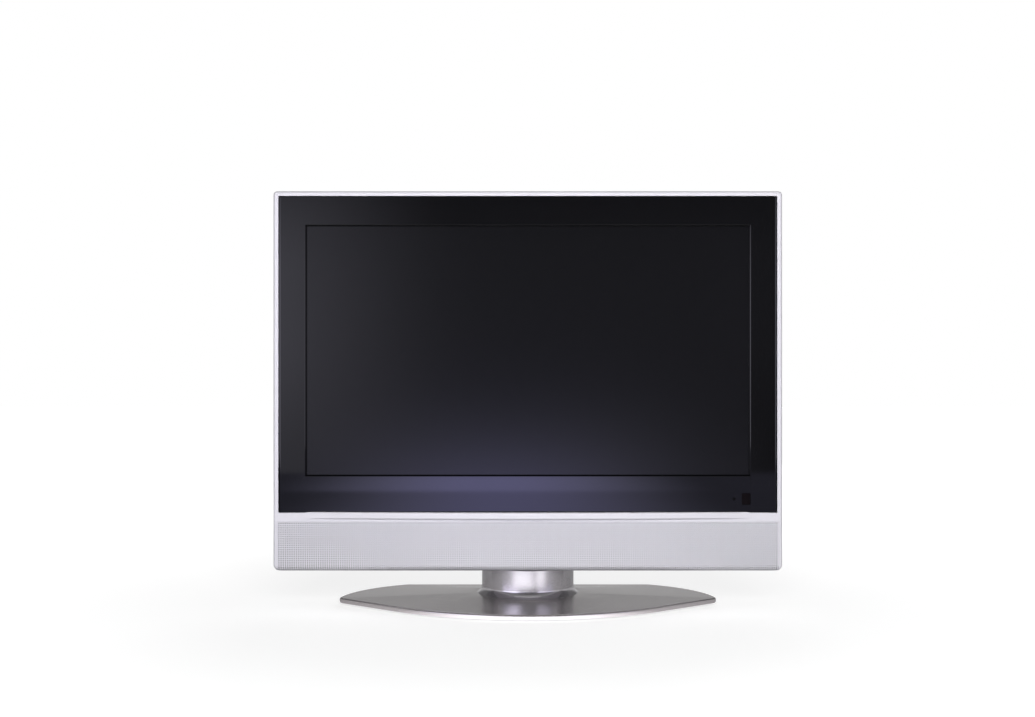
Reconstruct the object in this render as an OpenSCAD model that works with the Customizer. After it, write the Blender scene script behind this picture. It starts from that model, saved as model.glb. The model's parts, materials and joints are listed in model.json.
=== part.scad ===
// Flat screen television on a round neck and a crescent table base.
// Millimetres. X runs to the viewer's right, Y away from the viewer, Z up.
// The origin lies on the table, under the middle of the base's box.

/* [Cabinet] */
// Depth of the front cabinet, from its face to the parting line
front_d = 36; // [34:1:42]
// Wall of the moulded shells
wall = 2.5; // [2:0.1:3]
// Radius along the front edges
edge_r = 3; // [1:0.5:4]
// Radius of the two upper corners
corner_top = 5; // [4:0.5:12]
// Radius of the two lower corners
corner_low = 6.5; // [4:0.5:14]
// Width of the silver rim beside the bezel
rim_side = 7; // [5:0.5:10]
// Height of the silver rim above the bezel
rim_top = 6.5; // [5:0.5:10]
// Height of the speaker bar under the bezel
bar_h = 76; // [74:1:84]

/* [Bezel and screen] */
// Width of the picture
view_w = 575.8; // [560:0.1:580]
// Height of the picture
view_h = 323.7; // [310:0.1:326]
// Width of the slanted edge round the picture
bevel = 2.8; // [1:0.1:4]
// Width of the bezel on each side of the picture opening
cheek_w = 33.3; // [28:0.1:45]
// Height of the bezel above the picture opening
brow_h = 36.2; // [31:0.1:50]
// Height of the bezel under the picture opening
chin_h = 46; // [42:1:50]
// How far the bezel's face lies behind the cabinet's face
bezel_set = 1; // [0.5:0.1:1.4]
// Depth from the bezel's face to the panel module
bezel_d = 6; // [5:0.1:8]
// Thickness of the bezel's hidden flange
flange_t = 2; // [1.5:0.1:2.5]
// How far the flange reaches behind the silver rim
flange_lap = 3; // [2:0.1:3.6]
// Clearance round pieces that drop into a window
fit = 0.3; // [0.2:0.05:0.4]
// Width of the remote control window
ir_w = 11.4; // [8:0.1:16]
// Height of the remote control window
ir_h = 15; // [10:0.1:18]
// Thickness of the remote control window
ir_t = 2; // [1.5:0.1:2.5]
// Distance from the bezel's side to the window's middle
ir_in = 40.3; // [34:0.1:54]
// Distance from the picture opening down to the window's middle
ir_down = 28.2; // [26:0.1:31]
// Diameter of the indicator's light pipe
led_dia = 4; // [3:0.1:5]
// Distance between the indicator and the remote control window
led_gap = 15.8; // [14:0.1:24]
// Thickness of the receiver board
ir_board_t = 1.6; // [1:0.1:2]

/* [Speaker bar] */
// Height of the ledge along the top of the bar
ledge_h = 7.5; // [5:0.5:9]
// Distance from each side of the bezel to the ledge's end
ledge_in = 41; // [24:1:74]
// How far the ledge swells forward in the middle
ledge_bulge = 9; // [3:0.5:12]
// Height of the plain strip between the ledge and the grille
strip_h = 4.5; // [4:0.1:6]
// Distance from each side of the cabinet to the grille's end
grille_in = 5.5; // [4:0.5:16]
// Radius of the grille's rolled lower edge
roll_r = 8; // [6:0.5:10]
// How far the grille's lower lip runs back
lip_d = 14; // [12:0.5:18]
// Sheet thickness of the grille
grille_t = 2; // [1.5:0.1:2.2]
// Diameter of a sound hole
hole_dia = 1.5; // [1:0.1:2]
// Spacing of the sound holes
hole_pitch = 2.86; // [2.6:0.02:4]
// How far the field of open holes stays inside a loudspeaker's flange
field_in = 6.7; // [5:0.1:14]
// Clearance between a loudspeaker's flange and the grille's bends
driver_fit = 1; // [0.5:0.1:3]
// Depth of a loudspeaker's basket
driver_d = 16; // [12:1:20]
// Diameter of a loudspeaker's magnet
magnet_dia = 36; // [28:1:40]
// Thickness of a loudspeaker's magnet
magnet_t = 11; // [8:1:12]
// Distance from each side of the cabinet to a loudspeaker's middle
driver_in = 106; // [62:1:180]

/* [Panel module] */
// How far the panel module reaches past the picture on each side
module_lap_w = 25.1; // [18:0.1:28]
// How far the panel module reaches past the picture above and below
module_lap_h = 24.65; // [18:0.05:25]
// Sheet thickness of the module's front frame, tray and reflector
sheet_t = 1; // [0.6:0.1:1.4]
// Thickness of the liquid crystal cell
cell_t = 2; // [1.4:0.1:3]
// Thickness of the diffuser and its films
sheets_t = 3; // [2:0.1:4]
// Depth of the lamp space
lamp_d = 12; // [9:0.5:14]
// Diameter of a lamp tube
lamp_dia = 4; // [3:0.1:5]
// Number of lamp tubes
lamp_n = 12; // [8:1:14]
// Width of a lamp holder strip
holder_w = 14; // [10:1:18]
// How far the cell and films reach past the picture on each side
cell_lap = 9; // [6:0.5:12]

/* [Electronics] */
// Thickness of the circuit boards
board_t = 1.6; // [1:0.1:2]
// Height of the board posts on the tray
post_h = 9; // [7:0.5:10]
// Width of the main board and of the power board
board_w = 116; // [110:1:120]
// Height of the main board and of the power board
board_h = 236; // [220:1:250]
// Length of the inverter board
inverter_w = 430; // [380:1:470]
// Height of the inverter board
inverter_h = 46; // [40:1:52]
// Diameter of the board screws' thread
board_screw = 3; // [2.5:0.1:3]

/* [Rear cover] */
// Depth of the whole cabinet
cab_d = 104; // [96:1:112]
// Depth of the cover's side walls behind the parting line
skirt_d = 18; // [16:1:22]
// Depth of the shoulder between the side walls and the hump
shoulder_d = 12; // [10:1:15]
// How far the hump stays inside the cabinet's sides
hump_in = 69; // [55:1:80]
// How far the hump stays below the cabinet's top
hump_drop = 73; // [65:1:85]
// Corner radius of the hump
hump_r = 30; // [20:1:36]
// Width of an air slot
slot_w = 3; // [2:0.1:4]
// Spacing of the air slots
slot_pitch = 8; // [7:0.1:10]
// Height of an air slot
slot_h = 26; // [20:1:32]
// Number of air slots in a row
slot_n = 41; // [21:2:45]
// Depth of the two bays, from the back face to their floor
bay_d = 40; // [34:1:44]
// Width of the terminal bay
bay_w = 104; // [100:1:108]
// Height of the terminal bay
bay_h = 92; // [90:1:96]
// Width and height of the mains bay
mains_bay = 56; // [48:1:64]
// Radius of the housing over the neck
housing_r = 66; // [65:0.5:68]
// Height of the housing over the neck
housing_h = 96; // [80:1:110]
// Diameter of the cover screws' thread
cover_screw = 3; // [2.5:0.1:4]

/* [Wall mount] */
// Sideways spacing of the wall mount holes
wall_mount_w = 200; // [196:1:204]
// Upright spacing of the wall mount holes
wall_mount_h = 100; // [90:1:110]
// Thread diameter of the wall mount holes
wall_mount_dia = 4; // [4:1:6]
// Depth of the wall mount threads
wall_mount_depth = 16; // [10:1:20]
// Diameter of a wall mount post
wall_post_dia = 14; // [12:1:16]

/* [Keys] */
// Length of a key
key_w = 11; // [9:0.5:12]
// Depth of a key
key_d = 6; // [5:0.5:8]
// Spacing of the keys
key_pitch = 17; // [16.5:0.5:19]
// How far a key stands out
key_proud = 0.8; // [0.5:0.1:1.2]
// Travel of a key
key_travel = 1; // [0.6:0.1:1.2]
// Distance from the cabinet's side to the row's middle
key_row_in = 91; // [82:1:120]
// Distance of the row behind the cabinet's face
key_row_y = 21; // [19:0.5:23]

/* [Stand] */
// Width of the base
base_w = 502; // [470:1:520]
// Depth of the base
base_d = 250; // [244:1:270]
// Radius of the base's front edge
base_front_r = 262; // [250:1:290]
// Half angle of the rounded part of the front edge
base_front_turn = 40.4; // [36:0.1:44]
// Radius of the base's sides
base_side_r = 156; // [150:1:166]
// How far the widest place lies in front of the base's middle
base_side_fwd = 13; // [5:1:20]
// Radius of the base's two tips
tip_r = 12; // [10:0.5:16]
// Radius of the base's two rear corners
rear_r = 9; // [8.5:0.5:14]
// How far the feet lift the base
foot_h = 2.5; // [2:0.1:4]
// Diameter of a foot
foot_dia = 18; // [14:1:22]
// Height of the base's rim
rim_h = 6.5; // [6:0.1:9]
// Rise of the base from its rim to the neck
crown_h = 3; // [1:0.1:5]
// Thickness of the base's weight plate
weight_t = 3.6; // [3:0.1:4]
// Height of the neck
neck_h = 35.5; // [34:0.5:50]
// Diameter of the neck
neck_dia = 123; // [118:0.5:126]
// Sideways reach of the neck's flared foot
flare_w = 8; // [4:0.5:10]
// Height of the neck's flared foot
flare_h = 12; // [8:0.5:16]
// How far the neck lies behind the base's middle
neck_back = 42; // [38:0.5:44]
// How far the cabinet's face lies in front of the neck
face_fwd = 70; // [66:0.5:72]
// Gap between the neck and the cabinet
swivel_gap = 1.5; // [1:0.1:3]
// Turn of the head to either side, in degrees
swivel_turn = 20; // [10:1:25]
// Diameter of the swivel shaft
shaft_dia = 16; // [12:1:18]
// Radial running clearance of the swivel
swivel_run = 0.05; // [0.02:0.01:0.09]
// Diameter of the steel post inside the neck
post_dia = 60; // [58:1:64]
// Thickness of the stand bracket
bracket_t = 4; // [3:0.5:5]
// Thickness of the thrust washer
washer_t = 1.5; // [1:0.1:2]
// Height of the swivel nut
nut_h = 8; // [6:0.5:10]
// Diameter of the base screws' thread
base_screw = 4; // [3:0.5:4]

/* [Hidden] */
$fn = 48;
eps = 0.01;

// Sizes of the cabinet and of the panel module, from the picture out
cab_w = view_w + 2 * (bevel + cheek_w + rim_side);
cab_h = bar_h + chin_h + view_h + 2 * bevel + brow_h + rim_top;
module_w = view_w + 2 * module_lap_w;
module_h = view_h + 2 * module_lap_h;

// Heights, from the table up
rim_z = foot_h + rim_h;
seat_z = rim_z + crown_h;
neck_z = seat_z + neck_h;
cab_z0 = neck_z + swivel_gap;
cab_z1 = cab_z0 + cab_h;
bar_z = cab_z0 + bar_h;
view_z = bar_z + chin_h + bevel + view_h / 2;
cover_gap = 0.5;
floor_z = cab_z0 + cover_gap + wall;

// Depths, from the cabinet's face back
face_y = neck_back - face_fwd;
inner_y = face_y + wall;
part_y = face_y + front_d;
back_y = face_y + cab_d;
bezel_y = face_y + bezel_set;
module_y = bezel_y + bezel_d;
cell_y = module_y + sheet_t;
sheets_y = cell_y + cell_t;
holder_y = sheets_y + sheets_t;
reflector_y = holder_y + lamp_d;
pan_y = reflector_y + sheet_t;
tray_y = pan_y + sheet_t;
board_y = tray_y + post_h;
parts_y = board_y + board_t;
rail_y = parts_y + 2.4;
rail_t = 2;
rail_back = rail_y + rail_t;
bay_y = back_y - bay_d;
plate_t = 1.5;

// Half widths
half_w = cab_w / 2;
bezel_x = half_w - rim_side;
bezel_z1 = cab_z1 - rim_top;
ledge_w = 2 * (bezel_x - ledge_in);
grille_w = cab_w - 2 * grille_in;
grille_h = bar_h - ledge_h - strip_h;
boss_w = 10;
boss_in = wall + boss_w / 2 - 0.5;

// Screw and board positions
rail_w = 30;
rail_x = wall_mount_w / 2;
board_in = rail_x + rail_w / 2 + 5;
tray_gap = 0.3;
tray_w = module_w - 2 * sheet_t - 2 * tray_gap;
tray_h = module_h - 2 * sheet_t - 2 * tray_gap;
tray_z = view_z - tray_h / 2;
board_z = tray_z + 6;
wall_mount_z = view_z;
rail_top = wall_mount_z + wall_mount_h / 2 + 20;
inverter_z = max(rail_top, board_z + board_h) + 8;
side_screw_z = [cab_z0 + 60, cab_z0 + cab_h / 2, cab_z1 - 60];
top_screw_x = [-half_w / 2, half_w / 2];
board_inset = 6;
key_n = 7;

// Points of an arc from angle a0 to angle a1 in n steps
function arc(c, r, a0, a1, n) =
    [for (i = [0:n]) let (a = a0 + (a1 - a0) * i / n) c + r * [cos(a), sin(a)]];

// Rounded rectangle, anticlockwise, with its own radius for the lower and the upper corners
function round_rect(hw, z0, z1, low, top, n = 5) = concat(
    arc([hw - top, z1 - top], top, 0, 90, n),
    arc([top - hw, z1 - top], top, 90, 180, n),
    arc([low - hw, z0 + low], low, 180, 270, n),
    arc([hw - low, z0 + low], low, 270, 360, n)
);

// The cabinet's outline, drawn in by d
function cabinet_outline(d) = round_rect(
    half_w - d, cab_z0 + d, cab_z1 - d, max(corner_low - d, 1), max(corner_top - d, 1)
);

// A closed skin over outlines of equal point count, each given as [height, points], from low to high
module loft(rings) {
    n = len(rings[0][1]);
    last = len(rings) - 1;
    points = [for (r = rings) for (p = r[1]) [p[0], p[1], r[0]]];
    sides = [
        for (k = [0:last - 1]) for (i = [0:n - 1])
            let (j = (i + 1) % n, a = k * n, b = (k + 1) * n)
                each [[a + i, b + i, b + j], [a + i, b + j, a + j]]
    ];
    caps = [[for (i = [0:n - 1]) i], [for (i = [n - 1:-1:0]) last * n + i]];
    polyhedron(points, concat(sides, caps), convexity = 6);
}

// The same along Y, with rings given as [y, points] from the back to the front
module loft_y(rings) {
    rotate([90, 0, 0]) loft([for (r = rings) [-r[0], r[1]]]);
}

// Extrudes an XZ outline from y0 to y1
module along_y(y0, y1) {
    translate([0, y1, 0]) rotate([90, 0, 0]) linear_extrude(y1 - y0) children();
}

// A box between two corners
module block(a, b) {
    translate(a) cube(b - a);
}

// A round bar along Y
module bar_y(x, z, r, y0, y1) {
    translate([x, y1, z]) rotate([90, 0, 0]) cylinder(r = r, h = y1 - y0);
}

// A pan head screw whose head sits on height 0 and whose thread goes down
module screw(thread, length, head_r, head_h) {
    cylinder(r = head_r, h = head_h);
    translate([0, 0, -length]) cylinder(r = thread / 2, h = length + head_h / 2);
}

// Moves to both sides of the middle
module both_sides() {
    for (s = [-1, 1]) scale_side(s) children();
}

module scale_side(s) {
    if (s > 0) children();
    else mirror([1, 0, 0]) children();
}

// Base outline: a front arc with straight ends, rounded tips, side arcs and a straight back
base_y0 = -base_d / 2;
base_y1 = base_d / 2;
front_c = [0, base_y0 + base_front_r];
side_c = [base_w / 2 - base_side_r, -base_side_fwd];
run_dir = [cos(base_front_turn), sin(base_front_turn)];
run_in = [-sin(base_front_turn), cos(base_front_turn)];
tip_q = front_c + (tip_r - base_front_r) * run_in - side_c;
tip_s = -tip_q * run_dir + sqrt((tip_q * run_dir) ^ 2 - tip_q * tip_q + (base_side_r - tip_r) ^ 2);
tip_c = side_c + tip_q + tip_s * run_dir;
tip_a = atan2(tip_c[1] - side_c[1], tip_c[0] - side_c[0]);
rear_dy = base_y1 - rear_r - side_c[1];
rear_c = [side_c[0] + sqrt((base_side_r - rear_r) ^ 2 - rear_dy ^ 2), base_y1 - rear_r];
rear_a = atan2(rear_dy, rear_c[0] - side_c[0]);

// Right half of the outline drawn in by d, from the front middle to the rear corner
function base_half(d) = concat(
    arc(front_c, base_front_r - d, -90, base_front_turn - 90, 8),
    arc(tip_c, tip_r - d, base_front_turn - 90, tip_a, 6),
    arc(side_c, base_side_r - d, tip_a, rear_a, 8),
    arc(rear_c, rear_r - d, rear_a, 90, 4)
);

function base_outline(d) = let (h = base_half(d), n = len(h)) concat(
    h, [for (i = [n - 1:-1:1]) [-h[i][0], h[i][1]]]
);

// Outline part way, by t, from the rim's top edge to the round seat of the neck
seat_r = neck_dia / 2 + flare_w + 2.5;
neck_c = [0, neck_back];
function base_ring(t, d) = [
    for (p = base_outline(d))
        let (v = p - neck_c, q = neck_c + seat_r * v / norm(v)) p + t * (q - p)
];

weight_in = 6.5;
weight_fit = 0.4;
base_screw_n = 4;
base_screw_r = post_dia / 2 + 9;
post_flange_r = base_screw_r + 9;
post_flange_t = 4;
base_head_r = 3.6;
base_head_h = 1.6;

module at_base_screws() {
    for (i = [0:base_screw_n - 1])
        translate([0, neck_back, 0]) rotate(45 + 360 / base_screw_n * i)
            translate([base_screw_r, 0, 0]) children();
}

// Pressed cover of the base, with a rolled rim, a shallow crown and a flat seat for the neck
module base_cover() {
    rim_steps = [[0, 3], [0.22, 1.3], [0.5, 0.3], [0.75, 0], [0.9, 0.35], [1, 1.2]];
    crown_steps = [0.12, 0.35, 0.65, 1];
    color("silver") difference() {
        loft(concat(
            [for (s = rim_steps) [foot_h + s[0] * rim_h, base_outline(s[1])]],
            [for (t = crown_steps) [rim_z + crown_h * sin(90 * t), base_ring(t, 1.2)]]
        ));
        translate([0, 0, foot_h - 1]) linear_extrude(rim_h - wall + 1)
            polygon(base_outline(weight_in - weight_fit));
        at_base_screws() cylinder(r = base_screw / 2 + 0.2, h = seat_z + 1);
    }
}

weight_z1 = foot_h + rim_h - wall;
weight_z0 = weight_z1 - weight_t;

// Steel plate that keeps the stand from tipping
module base_weight() {
    color("dimgray") difference() {
        translate([0, 0, weight_z0]) linear_extrude(weight_t) polygon(base_outline(weight_in));
        at_base_screws() cylinder(r = base_screw / 2 + 0.2, h = seat_z);
    }
}

foot_in = 24;
foot_turn = 14;
side_foot_turn = 33;
rear_foot_x = rear_c[0] - 30;
foot_places = [
    front_c + (base_front_r - foot_in) * [sin(foot_turn), -cos(foot_turn)],
    side_c + (base_side_r - foot_in) * [cos(side_foot_turn), sin(side_foot_turn)],
    [rear_foot_x, base_y1 - foot_in]
];

module rubber_feet() {
    color("black") for (p = foot_places) both_sides()
        translate([p[0], p[1], 0]) {
            cylinder(r1 = foot_dia / 2 - 0.6, r2 = foot_dia / 2, h = 0.6);
            translate([0, 0, 0.6]) cylinder(r = foot_dia / 2, h = weight_z0 - 0.6);
        }
}

module base_screws() {
    color("gray") at_base_screws() translate([0, 0, weight_z0]) mirror([0, 0, 1])
        screw(base_screw - 0.1, seat_z + post_flange_t - weight_z0 - 0.5, base_head_r, base_head_h);
}

neck_r = neck_dia / 2;
neck_edge = 1.5;

// Round column cover whose foot flares out onto the base
module neck_cover() {
    flare = [
        for (a = [0:10:90])
            [neck_r + flare_w * (1 - cos(a)), seat_z + flare_h * (1 - sin(a))]
    ];
    outer = concat(
        [[neck_r - neck_edge, neck_z], [neck_r - 0.45, neck_z - 0.45], [neck_r, neck_z - neck_edge]],
        flare
    );
    inner = [
        [neck_r + flare_w - 1.5, seat_z], [neck_r - wall, seat_z],
        [neck_r - wall, neck_z - wall], [post_dia / 2 + 1, neck_z - wall], [post_dia / 2 + 1, neck_z]
    ];
    color("silver") translate([0, neck_back, 0]) rotate_extrude($fn = 96)
        polygon(concat(outer, inner));
}

post_top = floor_z;
shaft_r = shaft_dia / 2;
shaft_low = 18;
stop_r = 2;
stop_at = shaft_r + 14;
stop_h = 4.5;

// Welded steel post that carries the head, with a stop pin for the swivel
module neck_post() {
    tube = 5;
    profile = [
        [shaft_r, post_top - shaft_low], [shaft_r + tube, post_top - shaft_low],
        [shaft_r + tube, post_top - tube], [post_dia / 2 - tube, post_top - tube],
        [post_dia / 2 - tube, seat_z], [post_flange_r, seat_z],
        [post_flange_r, seat_z + post_flange_t], [post_dia / 2, seat_z + post_flange_t],
        [post_dia / 2, post_top], [shaft_r, post_top]
    ];
    color("slategray") union() {
        difference() {
            translate([0, neck_back, 0]) rotate_extrude() polygon(profile);
            at_base_screws() cylinder(r = base_screw / 2, h = seat_z + post_flange_t + 1);
        }
        translate([0, neck_back - stop_at, post_top - 1]) cylinder(r = stop_r, h = stop_h + 1);
    }
}

bracket_z = post_top + washer_t + 0.05;
bracket_z1 = bracket_z + bracket_t;
nut_z = bracket_z1 + 0.1;
nut_r = shaft_r + 6;

module swivel_shaft() {
    color("lightgray") translate([0, neck_back, post_top - shaft_low])
        cylinder(r = shaft_r - 0.02, h = nut_z + nut_h + 2 - post_top + shaft_low);
}

module thrust_washer() {
    color("ivory") translate([0, neck_back, post_top]) difference() {
        cylinder(r = stop_at - stop_r - 2, h = washer_t);
        translate([0, 0, -1]) cylinder(r = shaft_r + 0.3, h = washer_t + 2);
    }
}

module swivel_nut() {
    color("gray") translate([0, neck_back, nut_z]) difference() {
        cylinder(r = nut_r, h = nut_h, $fn = 6);
        translate([0, 0, -1]) cylinder(r = shaft_r, h = nut_h + 2);
    }
}

bush_r = shaft_r + 3;
bracket_x = rail_x + rail_w / 2;
bracket_y1 = neck_back + bush_r + 18;
tab_t = 3;
tab_h = 62;
gusset_h = 40;

// Pressed steel bracket with two gussets that hangs the head on the swivel
module stand_bracket() {
    stop_fit = 0.3;
    slot_half = swivel_turn + 0.5 + asin(stop_r / stop_at);
    seat_half = bush_r + 22;
    tab_y = rail_back + tab_t;
    color("slategray") difference() {
        union() {
            block([-bracket_x, rail_back, bracket_z], [bracket_x, tab_y, bracket_z1 + tab_h]);
            block([-seat_half, rail_back, bracket_z], [seat_half, bracket_y1, bracket_z1]);
            both_sides() translate([seat_half - tab_t, 0, 0]) rotate([90, 0, 90]) linear_extrude(tab_t)
                polygon([
                    [tab_y - 1, bracket_z1 - 1], [bracket_y1 - 4, bracket_z1 - 1],
                    [tab_y - 1, bracket_z1 + gusset_h]
                ]);
        }
        translate([0, neck_back, bracket_z - 1]) {
            cylinder(r = bush_r, h = bracket_t + 2);
            rotate(-90 - slot_half) rotate_extrude(angle = 2 * slot_half)
                translate([stop_at - stop_r - stop_fit, 0])
                    square([2 * (stop_r + stop_fit), bracket_t + 2]);
            for (a = [-slot_half, slot_half]) rotate(a - 90) translate([stop_at, 0, 0])
                cylinder(r = stop_r + stop_fit, h = bracket_t + 2);
        }
    }
}

module swivel_bush() {
    color("goldenrod") translate([0, neck_back, bracket_z]) difference() {
        cylinder(r = bush_r - 0.02, h = bracket_t);
        translate([0, 0, -1]) cylinder(r = shaft_r - 0.02 + swivel_run, h = bracket_t + 2);
    }
}

key_y = face_y + key_row_y;
key_flange_w = 1.8;
key_flange_t = 1.2;
key_flange_gap = 0.2;
key_under = cab_z1 - wall - key_flange_gap;
key_low = key_under - key_flange_t - 2;
switch_h = 3.5;
switch_w = 6;
key_board_z1 = key_low - key_travel - 0.2 - switch_h;
key_board_w = key_n * key_pitch + 14;
key_board_d = 12;
key_boss_w = 5;
key_row_x = half_w - key_row_in;
key_x0 = key_row_x - (key_n - 1) / 2 * key_pitch;

panel_bracket_in = 60;
bracket_boss_z = [view_z - module_h / 2 + panel_bracket_in, view_z + module_h / 2 - panel_bracket_in];
bracket_boss_len = 10;

// Blocks on the cabinet's walls that take the cover screws
module at_cover_bosses() {
    both_sides() for (z = side_screw_z) translate([half_w - boss_in, 0, z]) children();
    for (x = top_screw_x) translate([x, 0, cab_z1 - boss_in]) children();
}

// Silver front moulding: rim, ledge and the pockets that everything in front hangs on
module front_frame() {
    steps = [0:22.5:90];
    boss_d = 14;
    ledge_run = 6;
    bulge_r = ((ledge_w / 2) ^ 2 + ledge_bulge ^ 2) / (2 * ledge_bulge);
    bulge_half = asin((ledge_w / 2 + ledge_run) / bulge_r);
    bulge = arc([0, face_y + bulge_r - ledge_bulge], bulge_r, -90 - bulge_half, bulge_half - 90, 48);
    color("silver") difference() {
        union() {
            difference() {
                loft_y(concat([[part_y, cabinet_outline(0)]], [
                    for (a = steps)
                        [face_y + edge_r * (1 - sin(a)), cabinet_outline(edge_r * (1 - cos(a)))]
                ]));
                along_y(inner_y, part_y + 1) polygon(cabinet_outline(wall));
            }
            translate([0, 0, bar_z - ledge_h]) linear_extrude(ledge_h + 1) polygon(concat(bulge, [
                [ledge_w / 2 + ledge_run, face_y + 0.8 * wall],
                [-ledge_w / 2 - ledge_run, face_y + 0.8 * wall]
            ]));
            at_cover_bosses()
                block([-boss_w / 2, part_y - boss_d, -boss_w / 2], [boss_w / 2, part_y, boss_w / 2]);
            both_sides() for (z = bracket_boss_z)
                block(
                    [half_w - wall - boss_w, tray_y - bracket_boss_len, z - boss_w / 2],
                    [half_w - wall + 0.5, tray_y, z + boss_w / 2]
                );
            translate([key_row_x, key_y, 0]) both_sides() block(
                [key_board_w / 2 - key_boss_w, -key_board_d / 2, key_board_z1],
                [key_board_w / 2, key_board_d / 2, cab_z1 - wall + 0.5]
            );
        }
        block([-bezel_x, face_y - ledge_bulge - 1, bar_z], [bezel_x, inner_y + 1, bezel_z1]);
        block(
            [-grille_w / 2 - fit, face_y - ledge_bulge, cab_z0 - 1],
            [grille_w / 2 + fit, face_y + lip_d + fit, cab_z0 + grille_h + fit]
        );
        for (i = [0:key_n - 1]) translate([key_x0 + i * key_pitch, key_y, cab_z1 - wall - 1])
            linear_extrude(wall + 2) square([key_w + 2 * fit, key_d + 2 * fit], center = true);
        at_cover_bosses() bar_y(0, 0, cover_screw / 2, part_y - 12, part_y + 1);
    }
}

grille_lap = 4;
grille_step = 2;
driver_x = half_w - driver_in;
driver_z = cab_z0 + (roll_r + grille_h - grille_step) / 2;
driver_dia = grille_h - grille_step - roll_r - 2 * driver_fit;
field_dia = driver_dia - 2 * field_in;
grille_back = face_y + grille_t;

// Silver grille with a rolled lower edge and open holes in front of the loudspeakers
module speaker_grille() {
    z0 = cab_z0;
    z1 = cab_z0 + grille_h;
    outer = concat(
        [[face_y + lip_d, z0]],
        [for (a = [0:15:90]) [face_y + roll_r * (1 - sin(a)), z0 + roll_r * (1 - cos(a))]],
        [[face_y, z1], [inner_y, z1], [inner_y, z1 + grille_lap], [inner_y + grille_t, z1 + grille_lap]]
    );
    r = roll_r - grille_t;
    inner = concat(
        [[inner_y + grille_t, z1 - grille_step], [grille_back, z1 - grille_step]],
        [for (a = [90:-15:0]) [face_y + roll_r - r * sin(a), z0 + roll_r - r * cos(a)]],
        [[face_y + lip_d, z0 + grille_t]]
    );
    cells = ceil(field_dia / hole_pitch / 2);
    color("gainsboro") difference() {
        translate([-grille_w / 2, 0, 0]) rotate([90, 0, 90])
            linear_extrude(grille_w) polygon(concat(outer, inner));
        both_sides() for (i = [-cells:cells]) for (j = [-cells:cells])
            if (norm([i, j]) * hole_pitch <= field_dia / 2)
                bar_y(
                    driver_x + i * hole_pitch, driver_z + j * hole_pitch,
                    hole_dia / 2, face_y - 1, grille_back + 1
                );
    }
}

ir_x = bezel_x - ir_in;
ir_z = bar_z + chin_h - ir_down;
led_x = ir_x - led_gap;
ir_ledge = 1;
ir_post_r = 2.5;
ir_board_y = inner_y + flange_t + 5.5;
ir_board_w = 44;
ir_board_gap = 1.8;
ir_board_h = 22.5;
ir_board_z1 = view_z - module_h / 2 - ir_board_gap;
ir_board_x = ir_x - led_gap / 2;
ir_post_z = ir_board_z1 - 16.5;

// A slanted rectangular cut that narrows from y0 to y1 by d on each side
module slant_cut(w, h, d, y0, y1) {
    loft_y([
        [y1, round_rect(w / 2, view_z - h / 2, view_z + h / 2, 0.5, 0.5, 2)],
        [y0, round_rect(w / 2 + d, view_z - h / 2 - d, view_z + h / 2 + d, 0.8, 0.8, 2)]
    ]);
}

// Black bezel that drops into the silver frame from behind
module bezel() {
    lip = 6;
    slope = bevel / bezel_d;
    color("#26262c") difference() {
        union() {
            block([fit - bezel_x, bezel_y, bar_z + fit], [bezel_x - fit, inner_y + 1, bezel_z1 - fit]);
            block(
                [-bezel_x - flange_lap, inner_y, bar_z - flange_lap],
                [bezel_x + flange_lap, inner_y + flange_t, bezel_z1 + flange_lap]
            );
            block(
                [-view_w / 2 - lip, inner_y, view_z - view_h / 2 - lip],
                [view_w / 2 + lip, module_y, view_z + view_h / 2 + lip]
            );
            for (x = [-1, 1]) bar_y(
                ir_board_x + x * (ir_board_w / 2 - 4), ir_post_z, ir_post_r,
                inner_y + 1, ir_board_y
            );
        }
        slant_cut(view_w - 2 * slope, view_h - 2 * slope, bevel + 2 * slope, bezel_y - 1, module_y + 1);
        block(
            [ir_x - ir_w / 2, bezel_y - 1, ir_z - ir_h / 2],
            [ir_x + ir_w / 2, bezel_y + ir_t, ir_z + ir_h / 2]
        );
        block(
            [ir_x - ir_w / 2 + ir_ledge, bezel_y - 1, ir_z - ir_h / 2 + ir_ledge],
            [ir_x + ir_w / 2 - ir_ledge, module_y + 1, ir_z + ir_h / 2 - ir_ledge]
        );
        bar_y(led_x, ir_z, led_dia / 2 + 0.05, bezel_y - 1, module_y + 1);
    }
}

module ir_window() {
    color("#140f14") block(
        [ir_x - ir_w / 2 + 0.1, bezel_y + 0.4, ir_z - ir_h / 2 + 0.1],
        [ir_x + ir_w / 2 - 0.1, bezel_y + ir_t, ir_z + ir_h / 2 - 0.1]
    );
}

led_body = 1.5;

module led_lens() {
    color("white") bar_y(led_x, ir_z, led_dia / 2, bezel_y + 0.2, ir_board_y - led_body);
}

// Small board with the infrared receiver and the indicator diode
module ir_board() {
    receiver = [6, 4, 7];
    color("darkgreen") union() {
        block(
            [ir_board_x - ir_board_w / 2, ir_board_y, ir_board_z1 - ir_board_h],
            [ir_board_x + ir_board_w / 2, ir_board_y + ir_board_t, ir_board_z1]
        );
        translate([ir_x - receiver[0] / 2, ir_board_y - receiver[1], ir_z - receiver[2] / 2 - 1])
            cube(receiver + [0, 0.5, 0]);
        bar_y(led_x, ir_z, led_dia / 2 - 0.2, ir_board_y - led_body, ir_board_y + 0.5);
    }
}

// A rectangle centred on the picture, as two corners from y0 to y1
module panel(w, h, y0, y1) {
    block([-w / 2, y0, view_z - h / 2], [w / 2, y1, view_z + h / 2]);
}

module lcd_frame() {
    color("dimgray") difference() {
        panel(module_w, module_h, module_y, tray_y - sheet_t);
        panel(module_w - 2 * sheet_t, module_h - 2 * sheet_t, cell_y, tray_y + 1);
        panel(view_w + 2, view_h + 2, module_y - 1, cell_y + 1);
    }
}

cell_w = view_w + 2 * cell_lap;
cell_h = view_h + 2 * cell_lap;

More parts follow.
